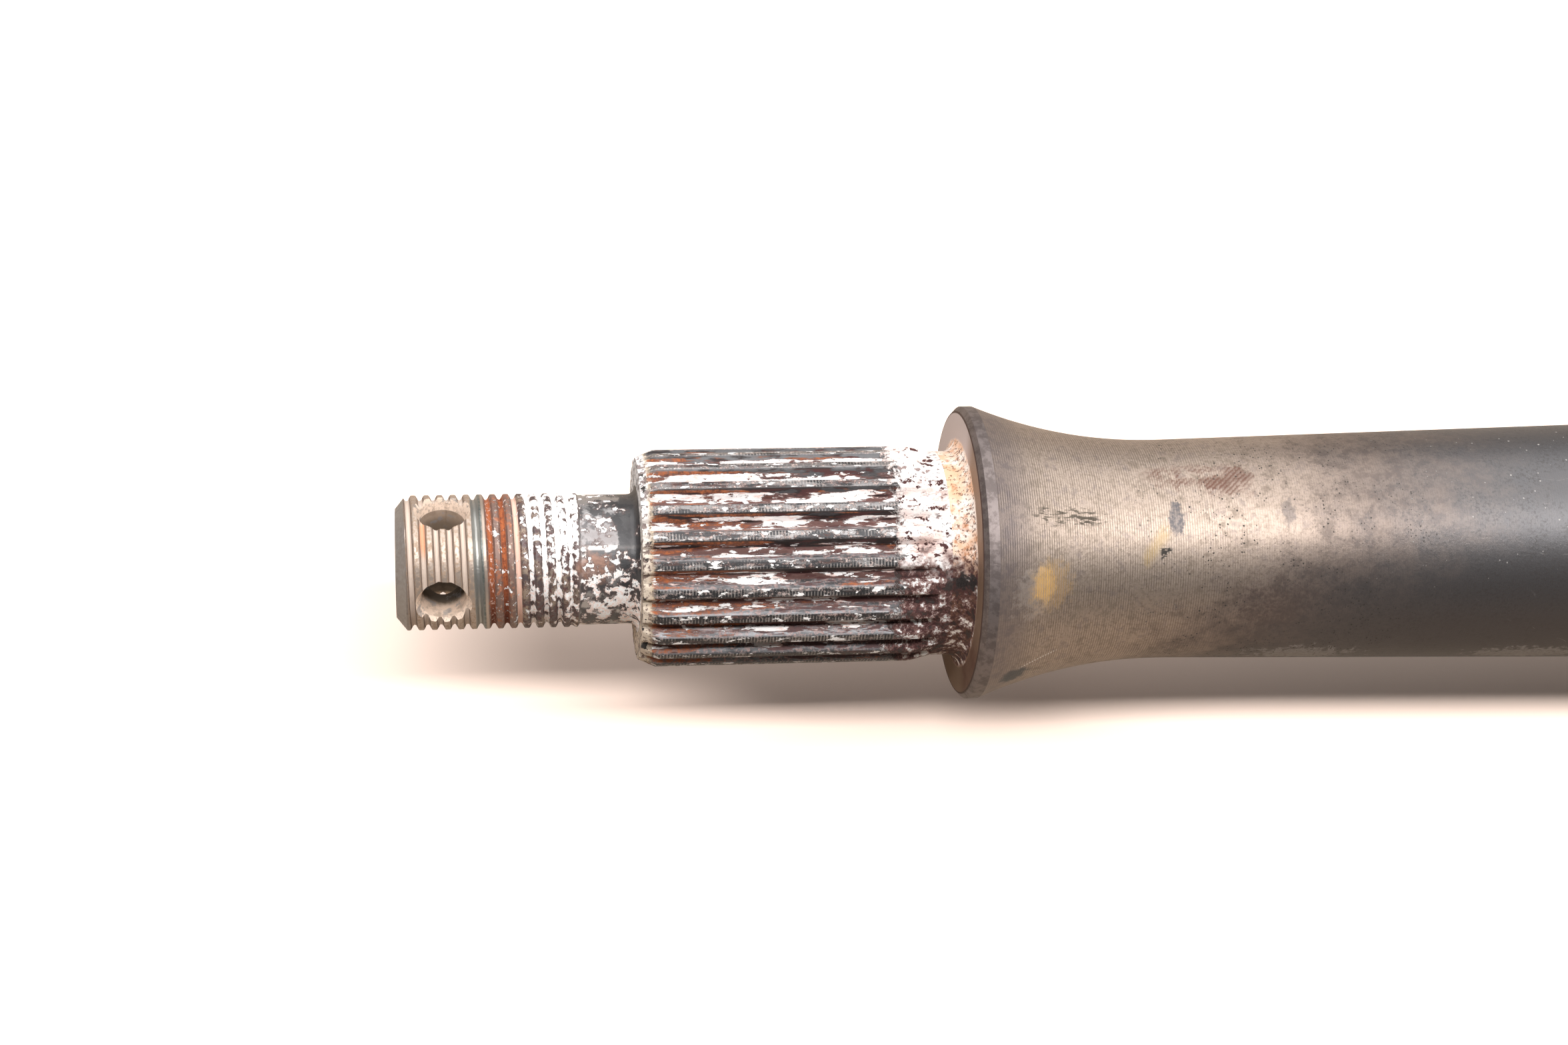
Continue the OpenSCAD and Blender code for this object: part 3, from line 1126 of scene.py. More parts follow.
class NutEndFinish(SteelFinish):
    """Thread and neck: worn pale crests, a clean band, rusty grooves, then white crust up to the spline.

    Coats of the thread follow its turns, by a station that is set back along the helix.
    """

    name = "nut_end_steel"
    helix_from: float = 28.0
    worn_span: Span = (1.2, 8.75)
    clean_span: Span = (8.7, 9.75)
    teal_span: Span = (9.6, 9.88)
    pale_span: Span = (9.75, 10.2)
    rusty_span: Span = (10.2, 13.2)
    thread_end: Span = (20.4, 20.8)
    base: Coat = Coat(tone(150, 141, 135), 0.4, 0.7)
    dirt: Coat = Coat(tone(92, 80, 72), 0.6, 0.2)
    bevel: Coat = Coat(tone(164, 158, 153), 0.44, 0.5)
    worn: Coat = Coat(tone(186, 168, 154), 0.36, 0.65)
    worn_dull: Coat = Coat(tone(164, 138, 116), 0.6, 0.2)
    # Painted shade for the flanks beside the pale grooves.
    groove_edge_shade: Coat = Coat(tone(96, 78, 68), 0.6, 0.2)
    pale_groove: Coat = Coat(tone(212, 194, 180), 0.6, 0.1)
    orange_groove: Coat = Coat(tone(220, 164, 130), 0.7)
    clean: Coat = Coat(tone(172, 170, 165), 0.36, 0.75)
    teal: Coat = Coat(tone(76, 90, 89), 0.36, 0.6)
    rust: Coat = Coat(tone(174, 98, 56), 0.85)
    deep_rust: Coat = Coat(tone(112, 58, 40), 0.9)
    peach: Coat = Coat(tone(234, 196, 178), 0.8)
    brown_crest: Coat = Coat(tone(132, 106, 96), 0.5, 0.4)
    dark_crest: Coat = Coat(tone(100, 88, 87), 0.45, 0.5)
    tan_crest: Coat = Coat(tone(164, 144, 124), 0.6, 0.2)
    maroon: Coat = Coat(tone(92, 56, 52), 0.8)
    neck: Coat = Coat(tone(182, 178, 177), 0.28, 0.75)
    neck_dark: Coat = Coat(tone(70, 69, 70), 0.42, 0.5)
    neck_rust: Coat = Coat(tone(170, 128, 108), 0.5, 0.3)
    neck_dull: Coat = Coat(tone(150, 143, 142), 0.55, 0.3)
    # Paler, smoother steel that paints the highlight line along the neck.
    neck_painted_highlight: Coat = Coat(tone(226, 216, 210), 0.2, 0.8)
    white: Coat = Coat(tone(250, 247, 245), 0.8)
    pink: Coat = Coat(tone(242, 218, 208), 0.8)
    white_rim: Coat = Coat(tone(112, 92, 88), 0.6, 0.2)

    def __init__(self, effects: Effects) -> None:
        """Finds the turns, the grooves and the crests of the thread."""
        super().__init__(effects)
        lag = (self.around - self.helix_from) * (Thread.pitch / 360.0)
        self.turn = self.along - lag * (self.left * 2.0 - 1.0)
        self.groove = self.radius.fall(7.2, 7.45) * self.along.fall(19.6, 20.4)
        self.crest = 1.0 - self.groove
        self.grain = self.noise(2.2, 5.0, 0.7)
        self.cloud = self.noise(0.5, 4.0, 0.6)

    def lay_coats(self) -> None:
        """Lays dirt, the bevel, the turns and the neck, then white crust over the inner turns and neck."""
        self.raise_by(self.grain, 0.05)
        self.lay(self.cloud.step(0.5, 0.66) * 0.55, self.dirt)
        self.lay(self.along.fall(1.1, 1.2) * self.grain.scaled(0.35, 0.6, 1.0, 0.45), self.bevel)
        self.lay_worn_turns()
        self.lay_rusty_turns()
        self.lay_neck()
        threaded = self.turn.step(13.3, 15.0) * self.along.fall(*self.thread_end)
        bare_crest = self.along.scaled(13.5, 20.5, 0.26, 0.44)
        packed = self.graph.blend(self.groove, bare_crest, 0.66)
        self.lay_flakes(threaded * (self.around.scaled(-60.0, 70.0, 0.24, 0.0) + packed), 1.0)
        # Less crust in the band of the neck's painted highlight line.
        lane = self.around.window(4.0, 24.0, 5.0) * 0.13
        side = self.around.scaled(-40.0, 75.0, 0.4, 0.5) - lane
        lip = self.along.step(24.8, 25.3) * self.around.scaled(0.0, 60.0, -0.16, 0.06)
        self.lay_flakes(self.along.step(*self.thread_end) * (side + lip), 1.5)
        self.lay(self.flecks(self.turn.window(10.9, 14.8, 0.2) * 0.29, 0.8), self.white, 0.1)

    def lay_flakes(self, cover: Field, size: float) -> None:
        """Lays white crust with a dark rim and pink patches.

        Args:
            cover: How much of the surface the crust covers.
            size: Size of the flakes in mm.
        """
        crust = self.crust(cover, size)
        self.lay(crust["Rim"] * 0.6, self.white_rim)
        self.lay(crust["Mask"], self.white, 0.12)
        low = self.around.scaled(20.0, 80.0, 0.0, 0.08)
        self.lay(crust["Mask"] * (crust["Grain"] + low).step(0.54, 0.66), self.pink)

    def lay_worn_turns(self) -> None:
        """Lays the worn turns by the holes and the clean band after them."""
        worn = self.turn.window(*self.worn_span, 0.12)
        self.lay(worn, self.worn)
        self.lay(worn * self.crest * self.grain.step(0.46, 0.6) * 0.85, self.worn_dull)
        # Painted shade: a dark band on the flanks beside the pale grooves of the worn turns.
        self.lay(worn * self.radius.window(7.24, 7.5, 0.1), self.groove_edge_shade)
        self.lay(worn * self.groove, self.pale_groove)
        self.lay(self.groove * self.stain(3.2, 4.0, 0.7, 22.0, 0.4), self.orange_groove)
        self.lay(self.turn.window(*self.clean_span, 0.1), self.clean)
        self.lay(self.turn.window(*self.pale_span, 0.1), self.worn)
        self.lay(self.turn.window(*self.teal_span, 0.08) * self.grain.scaled(0.3, 0.6, 0.95, 0.5), self.teal)

    def lay_rusty_turns(self) -> None:
        """Lays the turns with rust in their grooves and the dark crests after them."""
        rusty = self.turn.window(*self.rusty_span, 0.12)
        rusty_crest, rusty_groove = rusty * self.crest, rusty * self.groove
        patches = self.cloud.step(0.46, 0.58)
        self.lay(rusty, self.brown_crest)
        self.lay(rusty_crest * self.grain.step(0.54, 0.64), self.worn)
        self.lay(rusty_groove, self.rust, 0.05)
        self.lay(rusty_crest * patches * self.grain.step(0.44, 0.54) * 0.7, self.rust)
        self.lay(rusty_groove * self.grain.step(0.47, 0.58) * 0.75, self.deep_rust)
        self.lay(rusty_groove * self.around.scaled(25.0, 90.0, 0.0, 0.8), self.deep_rust)
        self.lay(self.groove * self.turn.window(10.2, 11.2, 0.2) * self.grain.step(0.53, 0.63), self.peach)
        inner = self.turn.step(13.15, 13.45)
        self.lay(inner, self.dark_crest)
        self.lay(inner * patches * 0.8, self.tan_crest)
        self.lay(inner * self.grain.step(0.5, 0.58) * 0.8, self.maroon)
        self.lay(self.groove * self.turn.window(13.2, 14.4, 0.2), self.peach, 0.05)

    def lay_neck(self) -> None:
        """Lays the neck's bare steel, rusty patch, painted highlight line with a duller band above it, and
        the dark ring before the spline.
        """
        bare = self.along.step(*self.thread_end)
        self.lay(bare, self.neck)
        shaded = self.cloud + self.around.scaled(-10.0, 50.0, 0.0, 0.08)
        self.lay(bare * shaded.step(0.47, 0.57) * 0.9, self.neck_dark)
        self.lay(self.stain(22.2, 36.0, 2.6, 16.0, 1.2) * 0.7, self.neck_rust)
        # Duller band above the line: darker, rougher steel that holds back the lamps' broad highlight, partly
        # painted shade.
        dull = self.around.window(-6.0, 17.0, 4.0) * self.cloud.scaled(0.4, 0.58, 0.9, 0.35)
        self.lay(bare * dull, self.neck_dull)
        # Painted highlight: a thin line of paler steel where the lamp's highlight falls on the neck.
        self.lay(bare * self.around.window(16.5, 19.5, 1.5) * 0.9, self.neck_painted_highlight)
        self.lay((self.cloud * 4.0 + self.along).step(26.8, 27.2) * 0.9, self.neck_dark)


class SplineFinish(SteelFinish):
    """Hub spline: scraped lands with chatter, dark lower flanks, rusty spaces and drawn-out strips of crust.

    The angle off the nearest land's middle tells lands, flanks and spaces apart.
    """

    name = "hub_spline_steel"
    form: ToothForm = HubSpline.form
    base: Coat = Coat(tone(92, 91, 92), 0.42, 0.6)
    scraped: Coat = Coat(tone(142, 138, 137), 0.36, 0.65)
    land_dark: Coat = Coat(tone(66, 65, 66), 0.42, 0.6)
    land_pink: Coat = Coat(tone(214, 190, 182), 0.6, 0.2)
    tick: Coat = Coat(tone(206, 196, 190), 0.5, 0.4)
    lit_flank: Coat = Coat(tone(158, 158, 160), 0.36, 0.65)
    shade_flank: Coat = Coat(tone(38, 27, 25), 0.7)
    root: Coat = Coat(tone(92, 62, 56), 0.75)
    orange: Coat = Coat(tone(172, 98, 58), 0.85)
    white: Coat = Coat(tone(252, 247, 244), 0.8)
    pink: Coat = Coat(tone(238, 208, 198), 0.85)
    tan: Coat = Coat(tone(208, 186, 160), 0.8)
    white_rim: Coat = Coat(tone(108, 74, 68), 0.7)
    maroon: Coat = Coat(tone(76, 40, 38), 0.8)
    dull_pink: Coat = Coat(tone(196, 160, 152), 0.85)
    nick: Coat = Coat(tone(52, 47, 44), 0.6)

    def __init__(self, effects: Effects) -> None:
        """Finds the lands and the streaks along them."""
        super().__init__(effects)
        pitch = 360.0 / self.form.teeth
        pitches = (self.around - self.form.turn) / pitch
        self.off = (self.graph.math("FRACT", pitches + 0.5) - 0.5) * pitch
        self.far = abs(self.off)
        self.land = self.far.fall(2.1, 2.6)
        self.long = self.streak(9.0, 1.3)
        self.short = self.streak(3.2, 0.7)
        self.grain = self.noise(2.2, 5.0, 0.75)

    def lay_coats(self) -> None:
        """Lays the flanks and the spaces, then the lands, the strips of crust and the ends."""
        self.raise_by(self.grain, 0.06)
        self.lay(self.far.step(5.0, 6.0), self.root)
        above = self.off.window(-5.6, -2.5, 0.35)
        below = self.off.window(2.4, 6.0, 0.35)
        lit = self.short.step(0.38, 0.56) * self.around.scaled(30.0, 90.0, 1.0, 0.5)
        self.lay(above * lit, self.lit_flank)
        self.lay(above * self.grain.step(0.48, 0.6) * 0.6, self.dull_pink)
        lower = self.around.scaled(-30.0, 45.0, 0.0, 0.3)
        self.lay(below * (lower + self.short).step(0.46, 0.6), self.shade_flank)
        spaces = self.far.step(2.6, 3.2)
        early = self.along.scaled(30.0, 46.0, 0.1, -0.06)
        rusty = spaces * (self.long + early).step(0.53, 0.59)
        self.lay(rusty * self.grain.scaled(0.4, 0.6, 0.25, 1.0), self.orange, 0.04)
        self.lay(spaces * (self.short - early).step(0.56, 0.62) * 0.85, self.maroon)
        self.lay_lands()
        self.lay_strips()
        self.lay_lead_in()
        self.lay_closed_end()

    def lay_lands(self) -> None:
        """Lays the scraped lands: dark streaks, more of them lower down as painted shade, rust, pink grains
        and faint chatter.
        """
        land = self.land
        self.lay(land, self.scraped)
        # The dark streaks grow towards the bottom: partly painted shade of the lower side.
        dark = self.short + self.around.scaled(-20.0, 75.0, -0.05, 0.15)
        self.lay(land * dark.step(0.47, 0.54), self.land_dark)
        self.lay(land * self.long.fall(0.4, 0.47) * self.grain.step(0.42, 0.54) * 0.8, self.root)
        pink = self.grain.step(0.52, 0.6) * self.around.scaled(20.0, 80.0, 1.0, 0.4)
        self.lay(land * pink * self.short.fall(0.46, 0.6), self.land_pink, 0.03)
        marks = self.turning_marks(0.36).step(0.5, 0.75) * self.long.step(0.46, 0.56)
        self.lay(land * marks * 0.4, self.tick, 0.02)

    def lay_strips(self) -> None:
        """Lays white crust in strips along the spaces, more on the upper side, and in flecks on the lands."""
        hollow = self.far.step(3.0, 4.4)
        share = self.around.scaled(-20.0, 80.0, 0.58, 0.4)
        crust = self.crust(hollow * share, 1.4, 4.5)
        mask = crust["Mask"]
        self.lay(crust["Rim"] * 0.8, self.white_rim)
        self.lay(mask, self.white, 0.12)
        self.lay(mask * crust["Grain"].step(0.55, 0.64), self.pink)
        self.lay(self.flecks(mask * 0.3, 0.7, 1.6), self.white_rim, -0.08)
        self.lay(self.flecks(self.land * 0.36 + hollow * 0.3, 0.7, 2.2), self.white, 0.08)

    def lay_lead_in(self) -> None:
        """Lays the tan lead-in with its nicks."""
        lead = (self.grain * 2.4 + self.along).fall(29.3, 30.0)
        self.lay(lead, self.tan, 0.06)
        upper = self.around.scaled(-10.0, 40.0, 1.0, 0.2)
        self.lay(lead * self.along.fall(27.9, 28.5) * upper, self.white)
        self.lay(self.flecks(lead * 0.44, 0.6) * 0.8, self.root, -0.03)
        self.lay(self.flecks(lead * 0.34, 1.1), self.nick, -0.06)

    def lay_closed_end(self) -> None:
        """Lays the crust that closes the spaces before the flange, white above and clumped maroon below."""
        wet = self.noise(0.3, 4.0, 0.6)
        shut = (wet * 7.0 + (self.grain * 4.0 + self.along)).step(61.3, 61.9)
        self.lay(shut, self.white, 0.14)
        self.lay(shut * wet.scaled(0.4, 0.6, 0.0, 0.9), self.pink)
        self.lay(self.flecks(shut * 0.35, 1.1), self.maroon, -0.08)
        self.lay(self.flecks(shut * 0.31, 0.45, 1.8) * 0.8, self.white_rim, -0.04)
        lower = shut * (wet * 40.0 + self.around).step(48.0, 62.0)
        self.lay(lower, self.maroon)
        self.lay(lower * self.grain.step(0.46, 0.58), self.white_rim)
        self.clumps(lower, self.nick, self.dull_pink, self.white)


class FlangeFinish(SteelFinish):
    """Flange: crusted hollow corner, ring face that is pale above and brown below, and a clean rim."""

    name = "hub_flange_steel"
    base: Coat = Coat(tone(132, 121, 118), 0.5, 0.75)
    rim_dark: Coat = Coat(tone(98, 88, 85), 0.5, 0.65)
    pale: Coat = Coat(tone(206, 194, 194), 0.42, 0.5)
    brown: Coat = Coat(tone(138, 112, 92), 0.5, 0.4)
    low_brown: Coat = Coat(tone(104, 72, 58), 0.6, 0.2)
    edge: Coat = Coat(tone(74, 52, 44), 0.6, 0.2)
    cream: Coat = Coat(tone(240, 196, 162), 0.85)
    tan: Coat = Coat(tone(196, 134, 96), 0.85)
    white: Coat = Coat(tone(252, 240, 230), 0.85)
    flake: Coat = Coat(tone(120, 82, 64), 0.8)
    maroon: Coat = Coat(tone(76, 40, 37), 0.8)
    dull_pink: Coat = Coat(tone(196, 160, 150), 0.85)
    black: Coat = Coat(tone(42, 34, 32), 0.6)

    def __init__(self, effects: Effects) -> None:
        """Finds the fine, middling and broad noises."""
        super().__init__(effects)
        self.grain = self.noise(2.0, 5.0, 0.68)
        self.blotch = self.noise(0.75, 5.0, 0.7)
        self.cloud = self.noise(0.35, 4.0, 0.6)

    def lay_coats(self) -> None:
        """Lays the rim and, by radius, the face, its dark edge and the corner."""
        self.raise_by(self.grain, 0.03)
        self.lay(self.blotch.step(0.42, 0.6) * 0.8, self.rim_dark)
        face = self.radius.fall(16.36, 16.46)
        self.lay(face, self.brown)
        self.lay(face * self.around.fall(-34.0, -14.0), self.pale)
        self.lay(face * self.around.step(62.0, 84.0) * self.cloud.scaled(0.35, 0.6, 0.5, 1.0), self.low_brown)
        self.lay(face * abs(self.around).window(112.0, 250.0, 8.0), self.brown)
        self.lay(self.radius.window(16.3, 16.52, 0.06), self.edge)
        self.lay_corner()

    def lay_corner(self) -> None:
        """Lays the crust of the hollow corner: cream and white above, clumped maroon below, burnt between."""
        corner = (self.grain * 0.8 + self.radius).fall(13.4, 13.9)
        self.lay(corner, self.cream, 0.06)
        self.lay(corner * self.cloud.scaled(0.42, 0.6, 0.0, 1.0), self.white)
        rusty = (self.blotch + self.around.scaled(-10.0, 50.0, 0.0, 0.1)).step(0.54, 0.64)
        self.lay(corner * rusty * self.grain.scaled(0.4, 0.6, 0.3, 1.0), self.tan)
        flakes = self.flecks(corner * self.along.scaled(62.0, 64.6, 0.28, 0.4), 0.4)
        self.lay(flakes * 0.85, self.flake, -0.04)
        lower = corner * (self.cloud * 40.0 + self.around).step(50.0, 64.0)
        self.lay(lower, self.maroon)
        self.lay(lower * self.grain.scaled(0.4, 0.6, 0.0, 0.9), self.flake)
        self.clumps(lower, self.black, self.dull_pink, self.white)
        burnt = self.stain(63.6, 42.0, 3.0, 12.0, 2.4)
        self.lay(corner * burnt * self.grain.scaled(0.4, 0.6, 0.4, 1.0), self.maroon)
        self.lay(corner * self.stain(63.8, 45.0, 2.0, 5.0, 4.0), self.black)


class ShankFinish(SteelFinish):
    """Flare and shank: taupe turned steel with stains, scratches and pits, darker towards the middle, with
    painted shade on the lower side and a painted highlight by the gold spot.
    """

    name = "shank_steel"
    mark_pitch: float = 0.285
    base: Coat = Coat(tone(188, 170, 156), 0.48, 0.85)
    line: Coat = Coat(tone(128, 114, 102), 0.45, 0.7)
    mottle: Coat = Coat(tone(126, 112, 98), 0.5, 0.6)
    lilac: Coat = Coat(tone(126, 114, 111), 0.46, 0.7)
    # Pale steel that paints a highlight on the flare.
    bright: Coat = Coat(tone(228, 214, 204), 0.4, 0.6)
    gold: Coat = Coat(tone(226, 178, 104), 0.5, 0.4)
    olive: Coat = Coat(tone(178, 148, 84), 0.5, 0.4)
    smear: Coat = Coat(tone(74, 64, 52), 0.55, 0.3)
    brown: Coat = Coat(tone(104, 70, 56), 0.6, 0.2)
    blue: Coat = Coat(tone(86, 84, 88), 0.5, 0.5)
    teal: Coat = Coat(tone(66, 70, 72), 0.5, 0.4)
    umber: Coat = Coat(tone(104, 88, 80), 0.46, 0.6)
    plum: Coat = Coat(tone(78, 62, 58), 0.55, 0.4)
    scratch: Coat = Coat(tone(232, 224, 216), 0.5, 0.3)
    gunmetal: Coat = Coat(tone(102, 100, 101), 0.42, 0.75)
    dark_mottle: Coat = Coat(tone(84, 80, 79), 0.46, 0.6)
    # Painted shade for the lower side of the gunmetal.
    under: Coat = Coat(tone(72, 65, 63), 0.46, 0.6)
    pale_patch: Coat = Coat(tone(176, 170, 168), 0.7, 0.1)
    speck: Coat = Coat(tone(165, 160, 156), 0.6, 0.2)
    pit: Coat = Coat(tone(48, 42, 36), 0.7)

    def __init__(self, effects: Effects) -> None:
        """Finds the noises and the turning marks."""
        super().__init__(effects)
        self.grain = self.noise(2.6, 5.0, 0.75)
        self.fine = self.noise(2.6, 3.0, 0.6)
        self.blotch = self.noise(0.75, 5.0, 0.7)
        self.cloud = self.noise(0.22, 4.0, 0.62)
        self.marks = self.turning_marks(self.mark_pitch)

    def lay_coats(self) -> None:
        """Lays the turned steel, the marks of the left end and the dark part, then pits and specks."""
        flare = self.along.fall(86.0, 100.0)
        self.shade(self.marks.step(0.3, 0.8) * flare.scaled(0.0, 1.0, 0.2, 0.6), self.line.colour)
        self.lay(self.blotch.step(0.47, 0.66) * self.cloud.step(0.34, 0.56) * 0.7, self.mottle)
        self.lay(self.blotch.fall(0.34, 0.48) * 0.5, self.lilac)
        self.shade(self.grain.step(0.46, 0.66) * 0.6, self.line.colour)
        self.lay(self.along.fall(67.5, 72.5) * self.blotch.scaled(0.32, 0.6, 0.35, 1.0), self.lilac)
        self.raise_by(self.marks * flare.scaled(0.0, 1.0, 0.004, 0.016), 1.0)
        self.raise_by(self.grain, 0.03)
        self.lay_gold_stains()
        self.lay_brown_stain()
        self.lay_small_stains()
        self.lay_scratches()
        dark = self.lay_dark_part()
        self.lay_hairs()
        lit = self.cloud.step(0.44, 0.56) * self.along.window(84.0, 118.0, 6.0)
        self.lay(self.pits(0.3, 0.28) * lit, self.pit, -0.02)
        self.lay(self.pits(0.3, 0.035) * dark * self.around.fall(25.0, 60.0), self.speck)

    def lay_dark_part(self) -> Field:
        """Lays umber, plum and gunmetal, which start further out on the lower side as painted shade, then
        painted shade over the gunmetal's lower side and pale patches near the lower edge.

        Returns:
            Mask of the gunmetal.
        """
        # The dark coats start further out on the lower side, which paints shade there.
        low = self.around.scaled(20.0, 75.0, 0.0, 14.0)
        place = self.cloud * 20.0 + self.along + low
        self.lay(place.step(102.0, 124.0) * self.blotch.scaled(0.3, 0.6, 0.45, 0.9), self.umber)
        # Plum laid on the lower side is painted shade.
        self.lay(place.step(106.0, 128.0) * self.around.scaled(30.0, 65.0, 0.0, 0.5), self.plum)
        dark = (self.blotch * 12.0 + (self.grain * 8.0 + place)).step(119.0, 155.0)
        self.lay(dark, self.gunmetal)
        self.lay(dark * self.grain.step(0.48, 0.62) * self.cloud.step(0.4, 0.58) * 0.8, self.dark_mottle)
        # Painted shade: a darker coat over the lower side of the gunmetal, near the hub end.
        lower = self.around.scaled(25.0, 70.0, 0.0, 0.75) * self.along.fall(150.0, 190.0)
        self.lay(dark * lower, self.under)
        # Pale patches near the lower edge of the shank.
        pale_patches = self.stain(104.8, 101.0, 6.5, 11.0, 3.0).most(self.stain(132.5, 102.0, 8.0, 10.0, 3.0))
        self.lay(pale_patches * self.grain.scaled(0.35, 0.6, 0.2, 0.6), self.pale_patch)
        return dark

    def lay_gold_stains(self) -> None:
        """Lays the gold spot with a painted highlight at its edge, and the slanted olive smear, both broken
        by the marks.
        """
        ribs = self.marks.scaled(0.2, 0.8, 0.45, 1.0)
        # Painted highlight: a pale patch beside the gold spot where the flare catches the lamp.
        self.lay(self.stain(70.8, 46.0, 2.4, 12.0, 3.0) * ribs * 0.3, self.bright)
        self.lay(self.stain(73.0, 43.0, 3.0, 13.0, 1.6) * ribs * 0.35, self.gold)
        spot = self.stain(72.2, 43.0, 1.5, 9.0, 1.2) * ribs
        self.lay(spot * self.fine.scaled(0.3, 0.6, 0.5, 0.85), self.gold)
        band = (self.around * 0.16 + self.along).window(89.0, 90.6, 0.7)
        self.lay(self.stain(85.6, 27.0, 2.6, 13.0, 1.6) * band * ribs * 0.5, self.olive)

    def lay_brown_stain(self) -> None:
        """Lays the brown stain: two ovals with a darker core, hatched by slanted lines."""
        hatch = self.fine * 0.7 + (self.around * 0.227 + self.along)
        lines = self.graph.math("SINE", hatch * 9.6).scaled(-0.6, 0.8, 0.5, 1.0)
        broken = self.noise(0.55, 5.0, 0.7).step(0.4, 0.54)
        whole = self.stain(89.6, -12.0, 5.6, 9.0, 2.6).most(self.stain(94.6, -8.0, 4.6, 12.0, 2.6))
        core = self.stain(93.2, -7.0, 2.2, 5.0, 2.2).most(self.stain(95.8, -12.0, 2.2, 6.0, 2.2))
        self.lay(whole * lines * broken * 0.85, self.brown)
        self.lay(core * lines * 0.9, self.brown)

    def lay_small_stains(self) -> None:
        """Lays the two grey-blue spots, the plum cloud and the teal spot under the flare."""
        fine = self.fine
        self.lay(self.stain(88.1, 13.0, 0.95, 11.0, 2.4) * fine.scaled(0.3, 0.6, 0.5, 0.9), self.blue)
        self.lay(self.stain(101.2, 11.0, 0.9, 8.0, 1.6) * 0.5, self.blue)
        self.lay(self.stain(99.5, 60.0, 4.6, 17.0, 2.4) * fine.scaled(0.3, 0.6, 0.3, 0.75), self.plum)
        self.lay(self.stain(69.9, 92.0, 2.0, 7.0, 1.5) * 0.85, self.teal)

    def lay_scratches(self) -> None:
        """Lays the thin smear along the flare, the black ticks after it and the dashed pale scratch."""
        g = self.graph
        thin = g.noise(g.stretched(self.point, (0.12, 1.0, 1.0)), 3.4, 3.0, 0.6)
        self.lay(self.stain(75.2, 12.5, 5.2, 6.0, 1.4) * thin.step(0.5, 0.58) * 0.9, self.smear)
        self.lay(self.stain(77.0, 14.5, 2.4, 2.4, 1.2) * thin.step(0.44, 0.54) * 0.9, self.smear)
        ticks = g.noise(g.stretched(self.point, (0.4, 1.0, 1.0)), 3.0, 3.0, 0.6).step(0.48, 0.54)
        self.lay(self.stain(86.6, 31.0, 1.0, 4.5, 1.4) * ticks, self.pit)
        off = abs(self.around - self.along.scaled(69.5, 77.5, 88.0, 75.0))
        dashes = g.math("SINE", self.along * 21.0).step(0.0, 0.5)
        drawn = off.fall(0.25, 0.6) * self.along.window(70.5, 74.5, 0.5)
        self.lay(drawn * dashes * self.left, self.scratch)

    def lay_hairs(self) -> None:
        """Lays hair scratches that slant over the dark part of the shank."""
        slant = self.along * -1.6 + self.around
        wander = self.noise(0.12, 2.0, 0.5) * 60.0 + slant
        line = abs(self.graph.math("FRACT", wander / 23.0) - 0.5)
        broken = self.noise(0.3, 4.0, 0.6).step(0.52, 0.6)
        self.lay(line.fall(0.006, 0.02) * broken * self.along.window(128.0, 240.0, 10.0) * 0.3, self.speck)


class MiddleFinish(SteelFinish):
    """Middle: gunmetal steel, ground bright on the bearing seats and rubbed on the lands of the splines."""

    name = "middle_steel"
    base: Coat = ShankFinish.gunmetal
    mottle: Coat = ShankFinish.dark_mottle
    speck: Coat = ShankFinish.speck
    ground: Coat = Coat(tone(196, 192, 188), 0.24, 0.95)
    rubbed: Coat = Coat(tone(166, 160, 156), 0.32, 0.85)
    rust: Coat = Coat(tone(132, 84, 56), 0.8)

    def lay_coats(self) -> None:
        """Lays the coats by the radius and the distance from the axle's middle."""
        grain = self.noise(2.4, 4.0, 0.7)
        cloud = self.noise(0.22, 4.0, 0.62)
        marks = self.turning_marks(0.26)
        self.raise_by(marks, 0.006)
        self.raise_by(grain, 0.014)
        from_middle = HALF_L - self.along
        seat = from_middle.window(35.3, 54.9, 0.15) * self.radius.step(19.7, 19.95)
        bare = 1.0 - seat
        self.lay(grain.step(0.48, 0.62) * cloud.step(0.4, 0.58) * 0.8, self.mottle)
        tops = self.radius.step(21.4, 21.8).most(self.radius.window(18.9, 19.5, 0.3))
        self.lay(from_middle.step(55.5, 56.0) * tops * grain.scaled(0.35, 0.65, 0.2, 0.9), self.rubbed)
        self.lay(seat * marks.scaled(0.2, 0.8, 0.7, 1.0), self.ground)
        self.lay(self.pits(0.3, 0.035) * bare, self.speck)
        self.lay(cloud.step(0.58, 0.7) * grain.step(0.46, 0.6) * bare * 0.7, self.rust)


